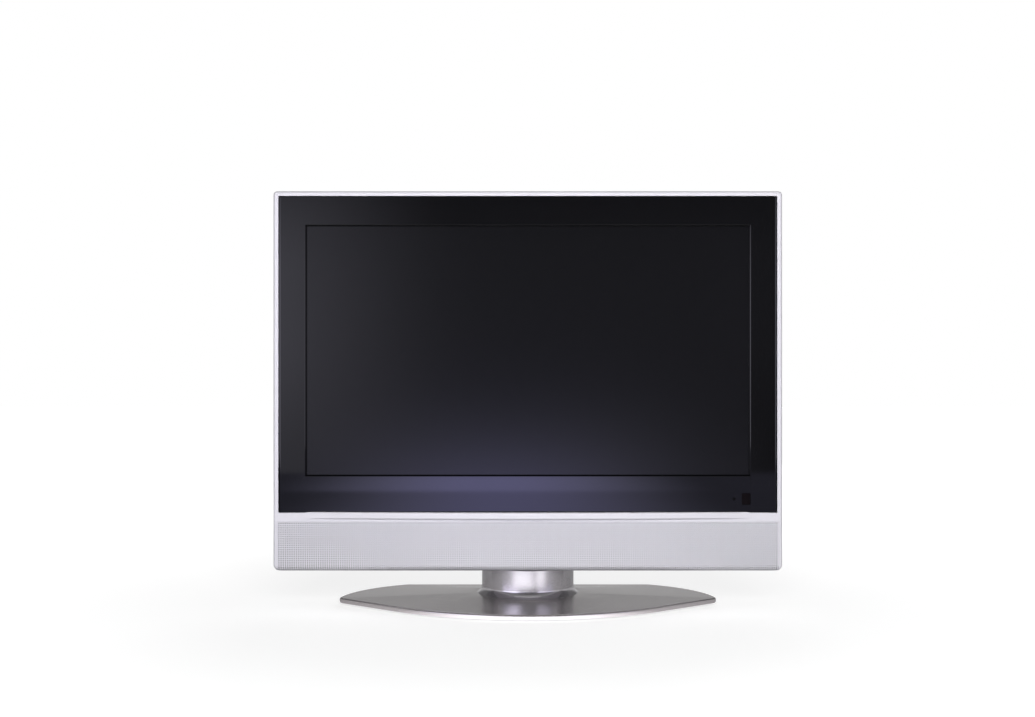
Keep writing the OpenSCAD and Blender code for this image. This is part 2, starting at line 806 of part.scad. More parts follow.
module lcd_cell() {
    color("#1c1c22") panel(cell_w, cell_h, cell_y, sheets_y);
}

module optical_sheets() {
    color("whitesmoke") panel(cell_w, cell_h, sheets_y, holder_y);
}

lamp_y = holder_y + lamp_d / 2;
lamp_pitch = view_h / lamp_n;
holder_x = view_w / 2 + cell_lap - holder_w / 2;

module at_lamps() {
    for (i = [0:lamp_n - 1]) translate([0, lamp_y, view_z + (i - (lamp_n - 1) / 2) * lamp_pitch])
        rotate([0, 90, 0]) children();
}

module lamp_tubes() {
    color("white") at_lamps()
        cylinder(r = lamp_dia / 2, h = 2 * holder_x + holder_w / 2, center = true);
}

module lamp_holders() {
    color("white") both_sides() difference() {
        block(
            [holder_x - holder_w / 2, holder_y, view_z - cell_h / 2],
            [holder_x + holder_w / 2, reflector_y, view_z + cell_h / 2]
        );
        at_lamps() cylinder(r = lamp_dia / 2 + 0.1, h = holder_x + holder_w / 4 + 1);
    }
}

module reflector() {
    color("white") panel(tray_w - 3, tray_h - 3, reflector_y, pan_y);
}

// Corners of a board, drawn in for its screws
function corners(x0, x1, z0, z1) = [
    for (x = [x0 + board_inset, x1 - board_inset]) for (z = [z0 + board_inset, z1 - board_inset]) [x, z]
];

tcon_w = 120;
tcon_h = 56;
tcon_drop = 144;
tcon_z = board_z + board_h - tcon_drop;
board_screw_places = concat(
    corners(board_in, board_in + board_w, board_z, board_z + board_h),
    corners(-board_in - board_w, -board_in, board_z, board_z + board_h),
    corners(-inverter_w / 2, inverter_w / 2, inverter_z, inverter_z + inverter_h),
    corners(-tcon_w / 2, tcon_w / 2, tcon_z, tcon_z + tcon_h)
);
board_post_r = 3.5;
board_screw_len = 6;

// Steel tray of the backlight, with the pressed posts of the circuit boards
module backlight_pan() {
    color("lightgray") difference() {
        union() {
            difference() {
                panel(tray_w, tray_h, holder_y, tray_y);
                panel(tray_w - 2 * sheet_t, tray_h - 2 * sheet_t, holder_y - 1, pan_y);
            }
            for (p = board_screw_places)
                bar_y(p[0], p[1], board_post_r, pan_y + sheet_t / 2, board_y);
        }
        for (p = board_screw_places)
            bar_y(p[0], p[1], board_screw / 2, board_y - board_screw_len, board_y + 1);
    }
}

module panel_brackets() {
    bracket_in = 24;
    color("lightgray") both_sides() for (z = bracket_boss_z)
        block(
            [module_w / 2 - bracket_in, tray_y, z - boss_w / 2],
            [half_w - wall - 1, tray_y + 1.5, z + boss_w / 2]
        );
}

// A circuit board with its four screw holes
module board(x0, x1, z0, z1) {
    difference() {
        block([x0, board_y, z0], [x1, parts_y, z1]);
        for (p = corners(x0, x1, z0, z1))
            bar_y(p[0], p[1], board_screw / 2 + 0.2, board_y - 1, parts_y + 1);
    }
}

module inverter_board() {
    color("darkgreen") board(-inverter_w / 2, inverter_w / 2, inverter_z, inverter_z + inverter_h);
}

coil_n = 6;

// Step-up transformers of the lamp supply
module inverter_coils() {
    coil = [30, 13, 22];
    end = 6;
    pitch = (inverter_w - 2 * coil[0]) / (coil_n - 1);
    coil_z = inverter_z + inverter_h / 2 - coil[2] / 2;
    color("gold") for (i = [0:coil_n - 1])
        translate([(i - (coil_n - 1) / 2) * pitch - coil[0] / 2, parts_y, coil_z]) difference() {
            cube(coil);
            for (x = [0, coil[0] - end]) translate([x, coil[1] - 4, -1]) cube([end, 5, coil[2] + 2]);
        }
}

module tcon_board() {
    color("darkgreen") board(-tcon_w / 2, tcon_w / 2, tcon_z, tcon_z + tcon_h);
}

ribbon_h = 20;
ribbon_t = 0.5;
ribbon_lap = 14;

module lvds_ribbon() {
    color("whitesmoke") block(
        [tcon_w / 2 - ribbon_lap, parts_y, tcon_z + tcon_h / 2 - ribbon_h / 2],
        [board_in + ribbon_lap, parts_y + ribbon_t, tcon_z + tcon_h / 2 + ribbon_h / 2]
    );
}

rail_foot_r = 5;
rail_feet_z = [tray_z + 20, wall_mount_z, rail_top - 12];

// Upright steel rails that carry the panel, the stand bracket and the wall mount posts
module chassis_rails() {
    color("silver") both_sides() union() {
        block([rail_x - rail_w / 2, rail_y, bracket_z], [rail_x + rail_w / 2, rail_back, rail_top]);
        for (z = rail_feet_z) bar_y(rail_x, z, rail_foot_r, tray_y, rail_y + rail_t / 2);
    }
}

wall_post_r = wall_post_dia / 2;

module at_wall_mount() {
    for (x = [-1, 1]) for (z = [-1, 1])
        translate([x * wall_mount_w / 2, 0, wall_mount_z + z * wall_mount_h / 2]) children();
}

// Threaded posts of the wall mount, flush with the cover's back
module wall_mount_posts() {
    color("lightgray") at_wall_mount() difference() {
        bar_y(0, 0, wall_post_r, rail_back, back_y);
        bar_y(0, 0, wall_mount_dia / 2, back_y - wall_mount_depth, back_y + 1);
    }
}

main_x = board_in + board_w / 2;

module main_board() {
    color("darkgreen") board(board_in, board_in + board_w, board_z, board_z + board_h);
}

// Finned block on the picture processor
module main_heat_sink() {
    size = 38;
    fin_n = 8;
    fin_t = 1.6;
    color("darkgray") translate([main_x - size / 2, parts_y, board_z + board_h - 100]) union() {
        cube([size, 4, size]);
        for (i = [0:fin_n - 1])
            translate([i * (size - fin_t) / (fin_n - 1), 0, 0]) cube([fin_t, 14, size]);
    }
}

bay_z0 = board_z + 4;
bay_z1 = bay_z0 + bay_h;
bay_x0 = main_x - bay_w / 2;
bay_x1 = main_x + bay_w / 2;
plate_y = bay_y - plate_t;
sleeve = 8;
row_1 = bay_z1 - 17;
row_2 = bay_z1 - 40;
row_3 = bay_z1 - 60;
row_4 = bay_z1 - 77;
aerial_x = main_x - 34;
tuner_w = 40;
aerial_r = 4.75;
aerial_bore = 3.4;

// Screened tuner with the aerial socket that comes out through the plate
module tuner_can() {
    color("silver") difference() {
        union() {
            block(
                [aerial_x - 14, parts_y, row_4 - 8],
                [aerial_x - 14 + tuner_w, plate_y - 1, row_4 + 8]
            );
            bar_y(aerial_x, row_4, aerial_r, plate_y - 2, bay_y + sleeve);
        }
        bar_y(aerial_x, row_4, aerial_bore / 2, bay_y - 2, bay_y + sleeve + 1);
    }
}

scart_w = 47;
scart_h = 16;
scart_x = [main_x - scart_w / 2 - 1, main_x + scart_w / 2 + 1];

// Two flat sockets with two rows of contact slots
module scart_sockets() {
    contact_n = 10;
    pitch = 3.8;
    color("#222222") for (x = scart_x) translate([x, 0, row_1]) difference() {
        block([-scart_w / 2, parts_y, -scart_h / 2], [scart_w / 2, bay_y + 4, scart_h / 2]);
        for (i = [0:contact_n - 1]) for (s = [-1, 1])
            translate([(i - (contact_n - 1) / 2) * pitch, bay_y + 4, s * 3.4])
                cube([1.4, 10, 3.6], center = true);
        for (s = [-1, 1])
            translate([s * (scart_w / 2 - 2), bay_y + 4, 0]) cube([1.6, 10, 9], center = true);
    }
}

hdmi_x = main_x + 32;
hdmi_half = [7.6, 3.2];

module hdmi_socket() {
    color("lightgray") translate([hdmi_x, 0, row_2]) difference() {
        block([-hdmi_half[0], parts_y, -hdmi_half[1]], [hdmi_half[0], bay_y + 2, hdmi_half[1]]);
        difference() {
            block([-6.9, bay_y - 9, -2.5], [6.9, bay_y + 3, 2.5]);
            block([-5, bay_y - 10, -0.6], [5, bay_y + 1, 0.9]);
        }
    }
}

vga_x = main_x - 18;
vga_half = [15.4, 6.2];

// Trapezoid screened socket with its two hexagonal studs
module vga_socket() {
    stud_x = 12.5;
    shell = [[-8.6, 4.2], [8.6, 4.2], [7.4, -4.2], [-7.4, -4.2]];
    color("royalblue") translate([vga_x, 0, row_2]) difference() {
        union() {
            block([-vga_half[0], parts_y, -vga_half[1]], [vga_half[0], plate_y, vga_half[1]]);
            along_y(plate_y - 1, bay_y + 6) polygon(shell);
            both_sides() translate([stud_x, bay_y + 5, 0]) rotate([90, 0, 0])
                cylinder(r = 2.6, h = 8, $fn = 6);
        }
        for (row = [-1, 0, 1]) for (i = [-2:2])
            bar_y(i * 2.3 + row * 0.55, row * 2, 0.55, bay_y - 2, bay_y + 7);
    }
}

jack_x = [main_x - 34, main_x - 16, main_x + 2];
jack_sleeve_r = 4.15;
jack_bore = 3.3;
phones_x = main_x + 32;
phones_bore = 3.6;
phones_r = 4;
jack_body = 14;
jack_ring = 1.6;
jack_ring_t = 1.5;
jack_deep = 2;
phones_deep = 12;
phones_nose = 2.5;

// Moulded body of one jack, on the main board and up to the plate
module jack_block(x) {
    block(
        [x - jack_body / 2, parts_y, row_3 - jack_body / 2],
        [x + jack_body / 2, plate_y, row_3 + jack_body / 2]
    );
}

// Three pin jacks with coloured rings, and the headphone jack
module av_jacks() {
    color("khaki") {
        for (x = jack_x) difference() {
            union() {
                jack_block(x);
                bar_y(x, row_3, jack_sleeve_r + jack_ring, plate_y - 1, bay_y + jack_ring_t);
                bar_y(x, row_3, jack_sleeve_r, bay_y, bay_y + sleeve);
            }
            bar_y(x, row_3, jack_bore / 2, bay_y - jack_deep, bay_y + sleeve + 1);
        }
        difference() {
            union() {
                jack_block(phones_x);
                bar_y(phones_x, row_3, phones_r, plate_y - 1, bay_y + phones_nose);
            }
            bar_y(phones_x, row_3, phones_bore / 2, bay_y - phones_deep, bay_y + phones_nose + 1);
        }
    }
}

// Steel plate behind the bay's window, cut out for every socket
module terminal_plate() {
    lap = 2;
    color("silver") difference() {
        block([bay_x0 - lap, plate_y, bay_z0 - lap], [bay_x1 + lap, bay_y, bay_z1 + lap]);
        for (x = scart_x) block(
            [x - scart_w / 2 - fit, plate_y - 1, row_1 - scart_h / 2 - fit],
            [x + scart_w / 2 + fit, bay_y + 1, row_1 + scart_h / 2 + fit]
        );
        block(
            [hdmi_x - hdmi_half[0] - fit, plate_y - 1, row_2 - hdmi_half[1] - fit],
            [hdmi_x + hdmi_half[0] + fit, bay_y + 1, row_2 + hdmi_half[1] + fit]
        );
        block(
            [vga_x - vga_half[0] - fit, plate_y - 1, row_2 - vga_half[1] + 1.6],
            [vga_x + vga_half[0] + fit, bay_y + 1, row_2 + vga_half[1] - 1.6]
        );
        for (x = jack_x) bar_y(x, row_3, jack_sleeve_r + jack_ring + fit, plate_y - 1, bay_y + 1);
        bar_y(phones_x, row_3, phones_r + fit, plate_y - 1, bay_y + 1);
        bar_y(aerial_x, row_4, aerial_r + fit, plate_y - 1, bay_y + 1);
    }
}

module power_board() {
    color("tan") board(-board_in - board_w, -board_in, board_z, board_z + board_h);
}

module power_transformer() {
    core = [40, 30, 36];
    color("darkkhaki") translate([-main_x - core[0] / 2, parts_y, bay_z1 + 30]) difference() {
        cube(core);
        for (s = [0, 1]) translate([s * (core[0] - 7), core[1] - 9, -1]) cube([7, 10, core[2] + 2]);
    }
}

capacitor_r = 11;
capacitor_h = 36;
capacitor_gap = 18;
capacitor_up = 92;

module bulk_capacitors() {
    color("navy") for (s = [-1, 1])
        bar_y(
            s * (capacitor_r + capacitor_gap / 2) - main_x, bay_z1 + capacitor_up,
            capacitor_r, parts_y, parts_y + capacitor_h
        );
}

sink_x = 40;
sink_up = 24;
sink_h = 60;
sink_d = 32;
sink_t = 2.4;
fin_w = 8;
fin_t = 1.8;
fin_pitch = 8;
fin_first = 6;

// Upright cooling plates of the supply's power transistors
module power_heat_sinks() {
    color("darkgray") for (s = [-1, 1])
        translate([s * sink_x - main_x, parts_y, bay_z1 + sink_up]) union() {
            translate([-sink_t / 2, 0, 0]) cube([sink_t, sink_d, sink_h]);
            for (i = [0:3]) translate([-fin_w / 2, fin_first + i * fin_pitch, 0])
                cube([fin_w, fin_t, sink_h]);
        }
}

inlet_w = 22;
inlet_h = 15;
inlet_nose_w = 19;
inlet_nose_h = 12;
inlet_z = bay_z0 + 32;
inlet_pin = 2.4;
inlet_pin_x = 4.3;
inlet_deep = 13;
inlet_cup_r = 4.1;
inlet_mouth = bay_y + wall;

// Two-pin mains inlet whose nose comes out through the second bay's floor
module ac_inlet() {
    color("#161616") translate([-main_x, 0, inlet_z]) union() {
        difference() {
            union() {
                block([-inlet_w / 2, parts_y, -inlet_h / 2], [inlet_w / 2, bay_y - wall, inlet_h / 2]);
                block(
                    [-inlet_nose_w / 2, bay_y - wall - 1, -inlet_nose_h / 2],
                    [inlet_nose_w / 2, inlet_mouth, inlet_nose_h / 2]
                );
            }
            for (s = [-1, 1])
                bar_y(s * inlet_pin_x, 0, inlet_cup_r, inlet_mouth - inlet_deep, inlet_mouth + 1);
            block(
                [-inlet_pin_x, inlet_mouth - inlet_deep, -inlet_cup_r],
                [inlet_pin_x, inlet_mouth + 1, inlet_cup_r]
            );
        }
        for (s = [-1, 1])
            bar_y(s * inlet_pin_x, 0, inlet_pin / 2, inlet_mouth - inlet_deep - 1, inlet_mouth - 1.5);
    }
}

driver_r = driver_dia / 2;
magnet_r = magnet_dia / 2;
basket_t = 1.5;
basket_back = grille_back + driver_d;

module at_drivers() {
    both_sides() translate([driver_x, 0, driver_z]) rotate([-90, 0, 0]) children();
}

// Pressed baskets, screwed to the back of the grille
module speaker_baskets() {
    color("dimgray") at_drivers() translate([0, 0, grille_back]) rotate_extrude() polygon([
        [driver_r - 5, 0], [driver_r, 0], [driver_r, basket_t], [driver_r - 3, basket_t],
        [magnet_r, driver_d], [8, driver_d], [8, driver_d - basket_t],
        [magnet_r - 1, driver_d - basket_t], [driver_r - 5, basket_t]
    ]);
}

module speaker_cones() {
    inset = 0.4;
    color("#2b2b2b") at_drivers() translate([0, 0, grille_back]) rotate_extrude() polygon([
        [driver_r - 5 - inset, 0.4], [driver_r - 5 - inset, 1], [7, driver_d - basket_t - inset],
        [0, driver_d - basket_t - 2.5], [0, driver_d - basket_t - 3.2], [7, driver_d - basket_t - 1.6]
    ]);
}

module speaker_magnets() {
    color("gray") at_drivers() translate([0, 0, basket_back]) difference() {
        cylinder(r = magnet_r, h = magnet_t);
        translate([0, 0, magnet_t - 2]) cylinder(r = 4, h = 3);
    }
}

// Board under the top wall with one press switch for each key
module key_board() {
    color("darkgreen") union() {
        block(
            [key_row_x - key_board_w / 2, key_y - key_board_d / 2, key_board_z1 - board_t],
            [key_row_x + key_board_w / 2, key_y + key_board_d / 2, key_board_z1]
        );
        for (i = [0:key_n - 1]) translate([key_x0 + i * key_pitch, key_y, key_board_z1 - 0.5]) {
            translate([-switch_w / 2, -switch_w / 2, 0]) cube([switch_w, switch_w, switch_h - 1]);
            cylinder(r = 1.7, h = switch_h + 0.5);
        }
    }
}

// One key, guided by its slot and kept in by its flange
module key(i) {
    tip = 0.6;
    color("darkgray") translate([key_x0 + i * key_pitch, key_y, 0]) union() {
        translate([0, 0, key_low]) linear_extrude(cab_z1 + key_proud - tip - key_low)
            square([key_w, key_d], center = true);
        translate([0, 0, cab_z1 + key_proud - tip - eps]) linear_extrude(tip + eps)
            square([key_w - 1.2, key_d - 1.2], center = true);
        translate([0, 0, key_under - key_flange_t]) linear_extrude(key_flange_t)
            square([key_w + 2 * key_flange_w, key_d + 2 * key_flange_w], center = true);
    }
}

// Outline of the cover at one depth: d in from the sides, low and top from the lower and upper edges
function cover_ring(d, low, top, r) = round_rect(
    half_w - d, cab_z0 + low, cab_z1 - top, min(r, 0.9 * hump_r), r, 6
);

hump_low = 12;
skirt_y = part_y + skirt_d;
hump_y = skirt_y + shoulder_d;

// Skin of the cover drawn in by t all round, from its back to its rim at y0
module cover_skin(t, y0) {
    back = back_y - t;
    side = hump_in + t;
    low = hump_low + t;
    top = hump_drop + t;
    loft_y([
        [back, cover_ring(side + 22, low + 16, top + 22, hump_r - 6)],
        [back - 1.5, cover_ring(side + 17, low + 11, top + 17, hump_r - 4)],
        [back - 6, cover_ring(side + 13, low + 7, top + 13, hump_r - 2)],
        [hump_y + 4 - t, cover_ring(side, low, top, hump_r)],
        [hump_y - t, cover_ring(hump_in / 2 + t, hump_low / 2 + 2 + t, hump_drop / 2 + t, hump_r - 6)],
        [hump_y - 4 - t, cover_ring(14 + t, 4 + t, 14 + t, 16)],
        [skirt_y - t / 2, cover_ring(3 + t, 0.8 + t, 3 + t, 9)],
        [y0, cover_ring(cover_gap + t, cover_gap + t, cover_gap + t, 6)]
    ]);
}

vent_z = cab_z1 - hump_drop - 22 - slot_h - 8;
low_vent_z = wall_mount_z - wall_mount_h / 2 - slot_h - 16;
low_slot_n = 15;
slot_y = back_y - 3 * wall;

// A row of upright slots with round ends through the back of the hump
module air_slots(n, z) {
    for (i = [0:n - 1]) translate([(i - (n - 1) / 2) * slot_pitch, 0, z]) {
        block([-slot_w / 2, slot_y, slot_w / 2], [slot_w / 2, back_y + 1, slot_h - slot_w / 2]);
        for (e = [slot_w / 2, slot_h - slot_w / 2]) bar_y(0, e, slot_w / 2, slot_y, back_y + 1);
    }
}

screw_pocket_r = 4.5;
screw_seat_t = 4;
screw_head_h = 2;
screw_grip = 10;

module housing_bar(r, z0, z1, cone) {
    translate([0, neck_back, z0]) cylinder(r = r, h = z1 - z0 - cone, $fn = 96);
    translate([0, neck_back, z1 - cone - eps]) cylinder(r1 = r, r2 = r - cone, h = cone, $fn = 96);
}

// Moulded cover with air slots, two terminal bays and a round housing over the neck
module rear_cover() {
    cone = 26;
    bay_open = 3;
    low = cab_z0 + cover_gap;
    color("#8d8c90") difference() {
        union() {
            difference() {
                union() {
                    cover_skin(0, part_y);
                    intersection() {
                        housing_bar(housing_r, low, low + housing_h, cone);
                        block([-half_w, part_y + 1, low], [half_w, back_y + housing_r, cab_z1]);
                    }
                }
                cover_skin(wall, part_y - 1);
                intersection() {
                    housing_bar(housing_r - wall, floor_z, low + housing_h - wall, cone);
                    block([-half_w, part_y + wall + 1, floor_z], [half_w, back_y + housing_r, cab_z1]);
                }
            }
            intersection() {
                cover_skin(wall / 2, part_y);
                at_cover_bosses() bar_y(0, 0, screw_pocket_r + wall, part_y, skirt_y + 8);
            }
            block(
                [bay_x0 - wall, bay_y, bay_z0 - wall],
                [bay_x1 + wall, back_y - wall / 2, bay_z1 + wall]
            );
            block(
                [-main_x - mains_bay / 2 - wall, bay_y, inlet_z - mains_bay / 2 - wall],
                [-main_x + mains_bay / 2 + wall, back_y - wall / 2, inlet_z + mains_bay / 2 + wall]
            );
        }
        block([bay_x0, bay_y + wall, bay_z0], [bay_x1, back_y + 1, bay_z1]);
        block(
            [-main_x - mains_bay / 2, bay_y + wall, inlet_z - mains_bay / 2],
            [-main_x + mains_bay / 2, back_y + 1, inlet_z + mains_bay / 2]
        );
        block(
            [bay_x0 + bay_open, bay_y - 1, bay_z0 + bay_open],
            [bay_x1 - bay_open, bay_y + wall + 1, bay_z1 - bay_open]
        );
        block(
            [-main_x - inlet_nose_w / 2 - fit, bay_y - 1, inlet_z - inlet_nose_h / 2 - fit],
            [-main_x + inlet_nose_w / 2 + fit, bay_y + wall + 1, inlet_z + inlet_nose_h / 2 + fit]
        );
        air_slots(slot_n, vent_z);
        air_slots(low_slot_n, low_vent_z);
        at_wall_mount() bar_y(0, 0, wall_post_r + fit, back_y - 4 * wall, back_y + 1);
        at_cover_bosses() {
            bar_y(0, 0, cover_screw / 2 + 0.2, part_y - 1, part_y + screw_seat_t + 1);
            bar_y(0, 0, screw_pocket_r, part_y + screw_seat_t, back_y);
        }
        translate([0, neck_back, cab_z0 - 1]) cylinder(r = post_dia / 2 + 2, h = wall + 3);
    }
}

module cover_screws() {
    color("black") at_cover_bosses() translate([0, part_y + screw_seat_t, 0]) rotate([-90, 0, 0])
        screw(cover_screw - 0.1, screw_seat_t + screw_grip, screw_pocket_r - 1, screw_head_h);
}

module board_screws() {
    color("gray") for (p = board_screw_places) translate([p[0], parts_y, p[1]]) rotate([-90, 0, 0])
        screw(board_screw - 0.1, board_t + board_screw_len - 1, board_screw, 1.8);
}

base_cover();
base_weight();
rubber_feet();
base_screws();
neck_cover();
neck_post();
swivel_shaft();
thrust_washer();
swivel_nut();
stand_bracket();
swivel_bush();
front_frame();
speaker_grille();
bezel();
ir_window();
led_lens();
ir_board();
lcd_frame();
lcd_cell();
optical_sheets();
lamp_tubes();
lamp_holders();
reflector();
backlight_pan();
panel_brackets();
inverter_board();
inverter_coils();
tcon_board();
lvds_ribbon();
chassis_rails();
wall_mount_posts();
main_board();
main_heat_sink();
tuner_can();
scart_sockets();
hdmi_socket();
vga_socket();
av_jacks();
terminal_plate();
power_board();
power_transformer();
bulk_capacitors();
power_heat_sinks();
ac_inlet();
speaker_baskets();
speaker_cones();
speaker_magnets();
key_board();
rear_cover();
cover_screws();
board_screws();
key(0);  // power_key
key(1);  // source_key
key(2);  // menu_key
key(3);  // volume_down_key
key(4);  // volume_up_key
key(5);  // channel_down_key
key(6);  // channel_up_key
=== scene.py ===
import json

import bmesh
import bpy
import numpy as np
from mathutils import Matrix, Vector
from mathutils.geometry import delaunay_2d_cdt

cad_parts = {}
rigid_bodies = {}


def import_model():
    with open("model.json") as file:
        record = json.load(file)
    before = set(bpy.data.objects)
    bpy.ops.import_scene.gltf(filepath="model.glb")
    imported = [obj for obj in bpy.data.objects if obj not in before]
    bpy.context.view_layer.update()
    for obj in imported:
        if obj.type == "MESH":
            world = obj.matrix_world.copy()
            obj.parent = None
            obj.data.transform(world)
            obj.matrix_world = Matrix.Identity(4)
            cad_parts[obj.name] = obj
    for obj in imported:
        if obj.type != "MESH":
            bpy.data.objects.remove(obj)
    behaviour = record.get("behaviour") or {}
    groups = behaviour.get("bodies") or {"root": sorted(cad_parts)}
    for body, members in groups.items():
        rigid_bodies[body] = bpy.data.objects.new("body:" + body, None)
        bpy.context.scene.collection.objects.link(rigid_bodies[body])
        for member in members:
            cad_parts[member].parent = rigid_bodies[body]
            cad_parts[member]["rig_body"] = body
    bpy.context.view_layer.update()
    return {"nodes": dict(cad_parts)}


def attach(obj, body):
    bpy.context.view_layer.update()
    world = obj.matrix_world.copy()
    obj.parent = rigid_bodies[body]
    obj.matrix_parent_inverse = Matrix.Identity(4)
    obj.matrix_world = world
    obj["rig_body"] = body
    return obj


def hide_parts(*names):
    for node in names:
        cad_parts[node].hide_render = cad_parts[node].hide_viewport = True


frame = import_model()
nodes = frame["nodes"]

# Feet, weight plate and screws under the base
# Moulded rubber pads stick to a sawn, painted steel plate that keeps the set from tipping.
# Four zinc plated pan head screws go up through the plate into the neck's flange.
MM = 0.001
WELD = 0.001 * MM       # points closer than this are one
FLAT_TURN = 0.005       # faces that meet at less than this, in radians, are one
WORN_CREASE = np.radians(30)


def colour(code):
    """Linear colour of an sRGB hex value: c / 12.92 near black, else ((c + 0.055) / 1.055) to the 2.4."""
    srgb = np.array([int(code[i:i + 2], 16) for i in (1, 3, 5)]) / 255
    linear = np.where(srgb <= 0.04045, srgb / 12.92, ((srgb + 0.055) / 1.055) ** 2.4)
    return (*linear.tolist(), 1.0)


def add(tree, kind, values=None, links=None):
    """Adds one shader node, sets its properties or inputs by name or number, and links the rest."""
    made = tree.nodes.new("ShaderNode" + kind)
    for key, value in (values or {}).items():
        if isinstance(key, str) and hasattr(made, key):
            setattr(made, key, value)
        else:
            made.inputs[key].default_value = value
    for key, socket in (links or {}).items():
        tree.links.new(socket, made.inputs[key])
    return made


def start(name, sockets):
    """A material with one Principled shader whose constant sockets are set, and its Object coordinates."""
    made = bpy.data.materials.new(name)
    made.use_nodes = True
    tree = made.node_tree
    shader = tree.nodes["Principled BSDF"]
    for key, value in sockets.items():
        shader.inputs[key].default_value = value
    return made, tree, shader, add(tree, "TexCoord").outputs["Object"]


def grained(name, pale, deep, grain, rough, lift, **sockets):
    """A surface with one fine grain in mm: it wavers between two colours and two roughnesses,
    and the bump lifts it by lift mm. Other sockets are named with _ for a space."""
    made, tree, shader, place = start(name, {k.replace("_", " "): v for k, v in sockets.items()})
    cloud = add(tree, "TexNoise", {"Scale": 1 / (grain * MM), "Detail": 3.0}, {"Vector": place})
    noise = cloud.outputs["Fac"]
    shade = add(tree, "Mix", {"data_type": "RGBA", 6: colour(deep), 7: colour(pale)}, {0: noise})
    gloss = add(tree, "MapRange", {"To Min": rough[0], "To Max": rough[1]}, {"Value": noise})
    bump = add(tree, "Bump", {"Strength": 0.6, "Distance": lift * MM}, {"Height": noise})
    tree.links.new(shade.outputs[2], shader.inputs["Base Color"])
    tree.links.new(gloss.outputs["Result"], shader.inputs["Roughness"])
    tree.links.new(bump.outputs["Normal"], shader.inputs["Normal"])
    return made


def wear(finish, *names):
    """Puts a finish on solids that keep their own mesh."""
    for name in names:
        nodes[name].data.materials.clear()
        nodes[name].data.materials.append(finish)


def dressed(name, finish, width):
    """A copy of a solid's mesh whose loose triangles are merged and flat ones dissolved, with its edges
    rounded by width mm and its shading weighted by the size of the faces. It replaces the solid."""
    mesh = nodes[name].data.copy()
    work = bmesh.new()
    work.from_mesh(mesh)
    bmesh.ops.remove_doubles(work, verts=work.verts, dist=WELD)
    bmesh.ops.dissolve_limit(work, angle_limit=FLAT_TURN, verts=work.verts, edges=work.edges)
    work.to_mesh(mesh)
    work.free()
    mesh.materials.clear()
    mesh.materials.append(finish)
    mesh.shade_smooth()
    mesh.set_sharp_from_angle(angle=WORN_CREASE)
    made = bpy.data.objects.new(name + "_dressed", mesh)
    bpy.context.scene.collection.objects.link(made)
    worn = made.modifiers.new("worn edges", "BEVEL")
    worn.width = width * MM
    worn.segments = 2
    worn.limit_method = "ANGLE"
    worn.angle_limit = WORN_CREASE
    made.modifiers.new("flat faces", "WEIGHTED_NORMAL").keep_sharp = True
    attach(made, nodes[name]["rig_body"])
    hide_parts(name)


# Moulded rubber is dull and close to black, with a fine pitted skin.
rubber = grained("moulded_black_rubber", "#242425", "#161617", 0.9, (0.75, 0.9), 0.05)
# Black stoving paint on steel shows a soft sheen and a slight orange peel.
stoved_steel = grained("black_stoved_steel", "#2b2b2d", "#202022", 2.5, (0.38, 0.5), 0.03)
# Zinc plate is a cool grey metal, clouded by its crystals.
zinc_steel = grained("zinc_plated_steel", "#c3c6ca", "#a5a8ae", 3.0, (0.3, 0.45), 0.01, Metallic=1.0)
dressed("rubber_feet", rubber, 0.5)
wear(stoved_steel, "base_weight")
dressed("base_screws", zinc_steel, 0.4)

# Base cover
# A crescent moulded in ABS, with a rolled rim and a shallow crown that rises to the neck's round seat.
# A fine groove parts the rim from the top, and the whole is sprayed with silver lacquer.
FOOT_H = 2.5            # underside of the cover over the table
RIM_H = 6.5
CROWN_H = 3.0
CROWN_ROWS = 25
SETTLINGS = 4000        # steps in which the crown finds its height
RIM_WIDEST = 4.0        # the rim's widest line over the underside
RIM_UNDER = 1.4         # how far the roll below that line draws in
RIM_IN = 1.8            # how far the roll above it draws in
GROOVE_W = 0.8
GROOVE_D = 0.6
GROOVE_LEAN = 0.1
BASE_HALF_D = 125.0
FRONT_R = 262.0
FRONT_TURN = np.radians(40.4)
SIDE_R = 156.0
SIDE_C = np.array([95.0, -13.0])
TIP_R = 12.0
REAR_R = 9.0
NECK_Y = 42.0
SEAT_R = 72.0
POCKET_IN = 6.1
POCKET_TOP = 6.5


def arc(centre, radius, first, last, count):
    """Points of an arc: centre plus radius times (cos a, sin a), with a from first to last in radians."""
    turn = np.linspace(first, last, count)
    return np.asarray(centre) + radius * np.stack([np.cos(turn), np.sin(turn)], axis=-1)


# A straight run leads on from the end of the front arc. The tip's centre lies TIP_R inside that run and
# SIDE_R - TIP_R from the side arc's centre. The rear corner touches the side arc and the rear edge.
front_c = np.array([0.0, FRONT_R - BASE_HALF_D])
front_run = np.array([np.cos(FRONT_TURN), np.sin(FRONT_TURN)])
front_across = np.array([-front_run[1], front_run[0]])
tip_from = front_c + (TIP_R - FRONT_R) * front_across - SIDE_C
tip_back = -tip_from @ front_run
tip_along = tip_back + np.sqrt(tip_back ** 2 - tip_from @ tip_from + (SIDE_R - TIP_R) ** 2)
tip_c = SIDE_C + tip_from + tip_along * front_run
tip_turn = np.arctan2(*(tip_c - SIDE_C)[::-1])
rear_rise = BASE_HALF_D - REAR_R - SIDE_C[1]
rear_c = SIDE_C + [np.sqrt((SIDE_R - REAR_R) ** 2 - rear_rise ** 2), rear_rise]
rear_turn = np.arctan2(*(rear_c - SIDE_C)[::-1])


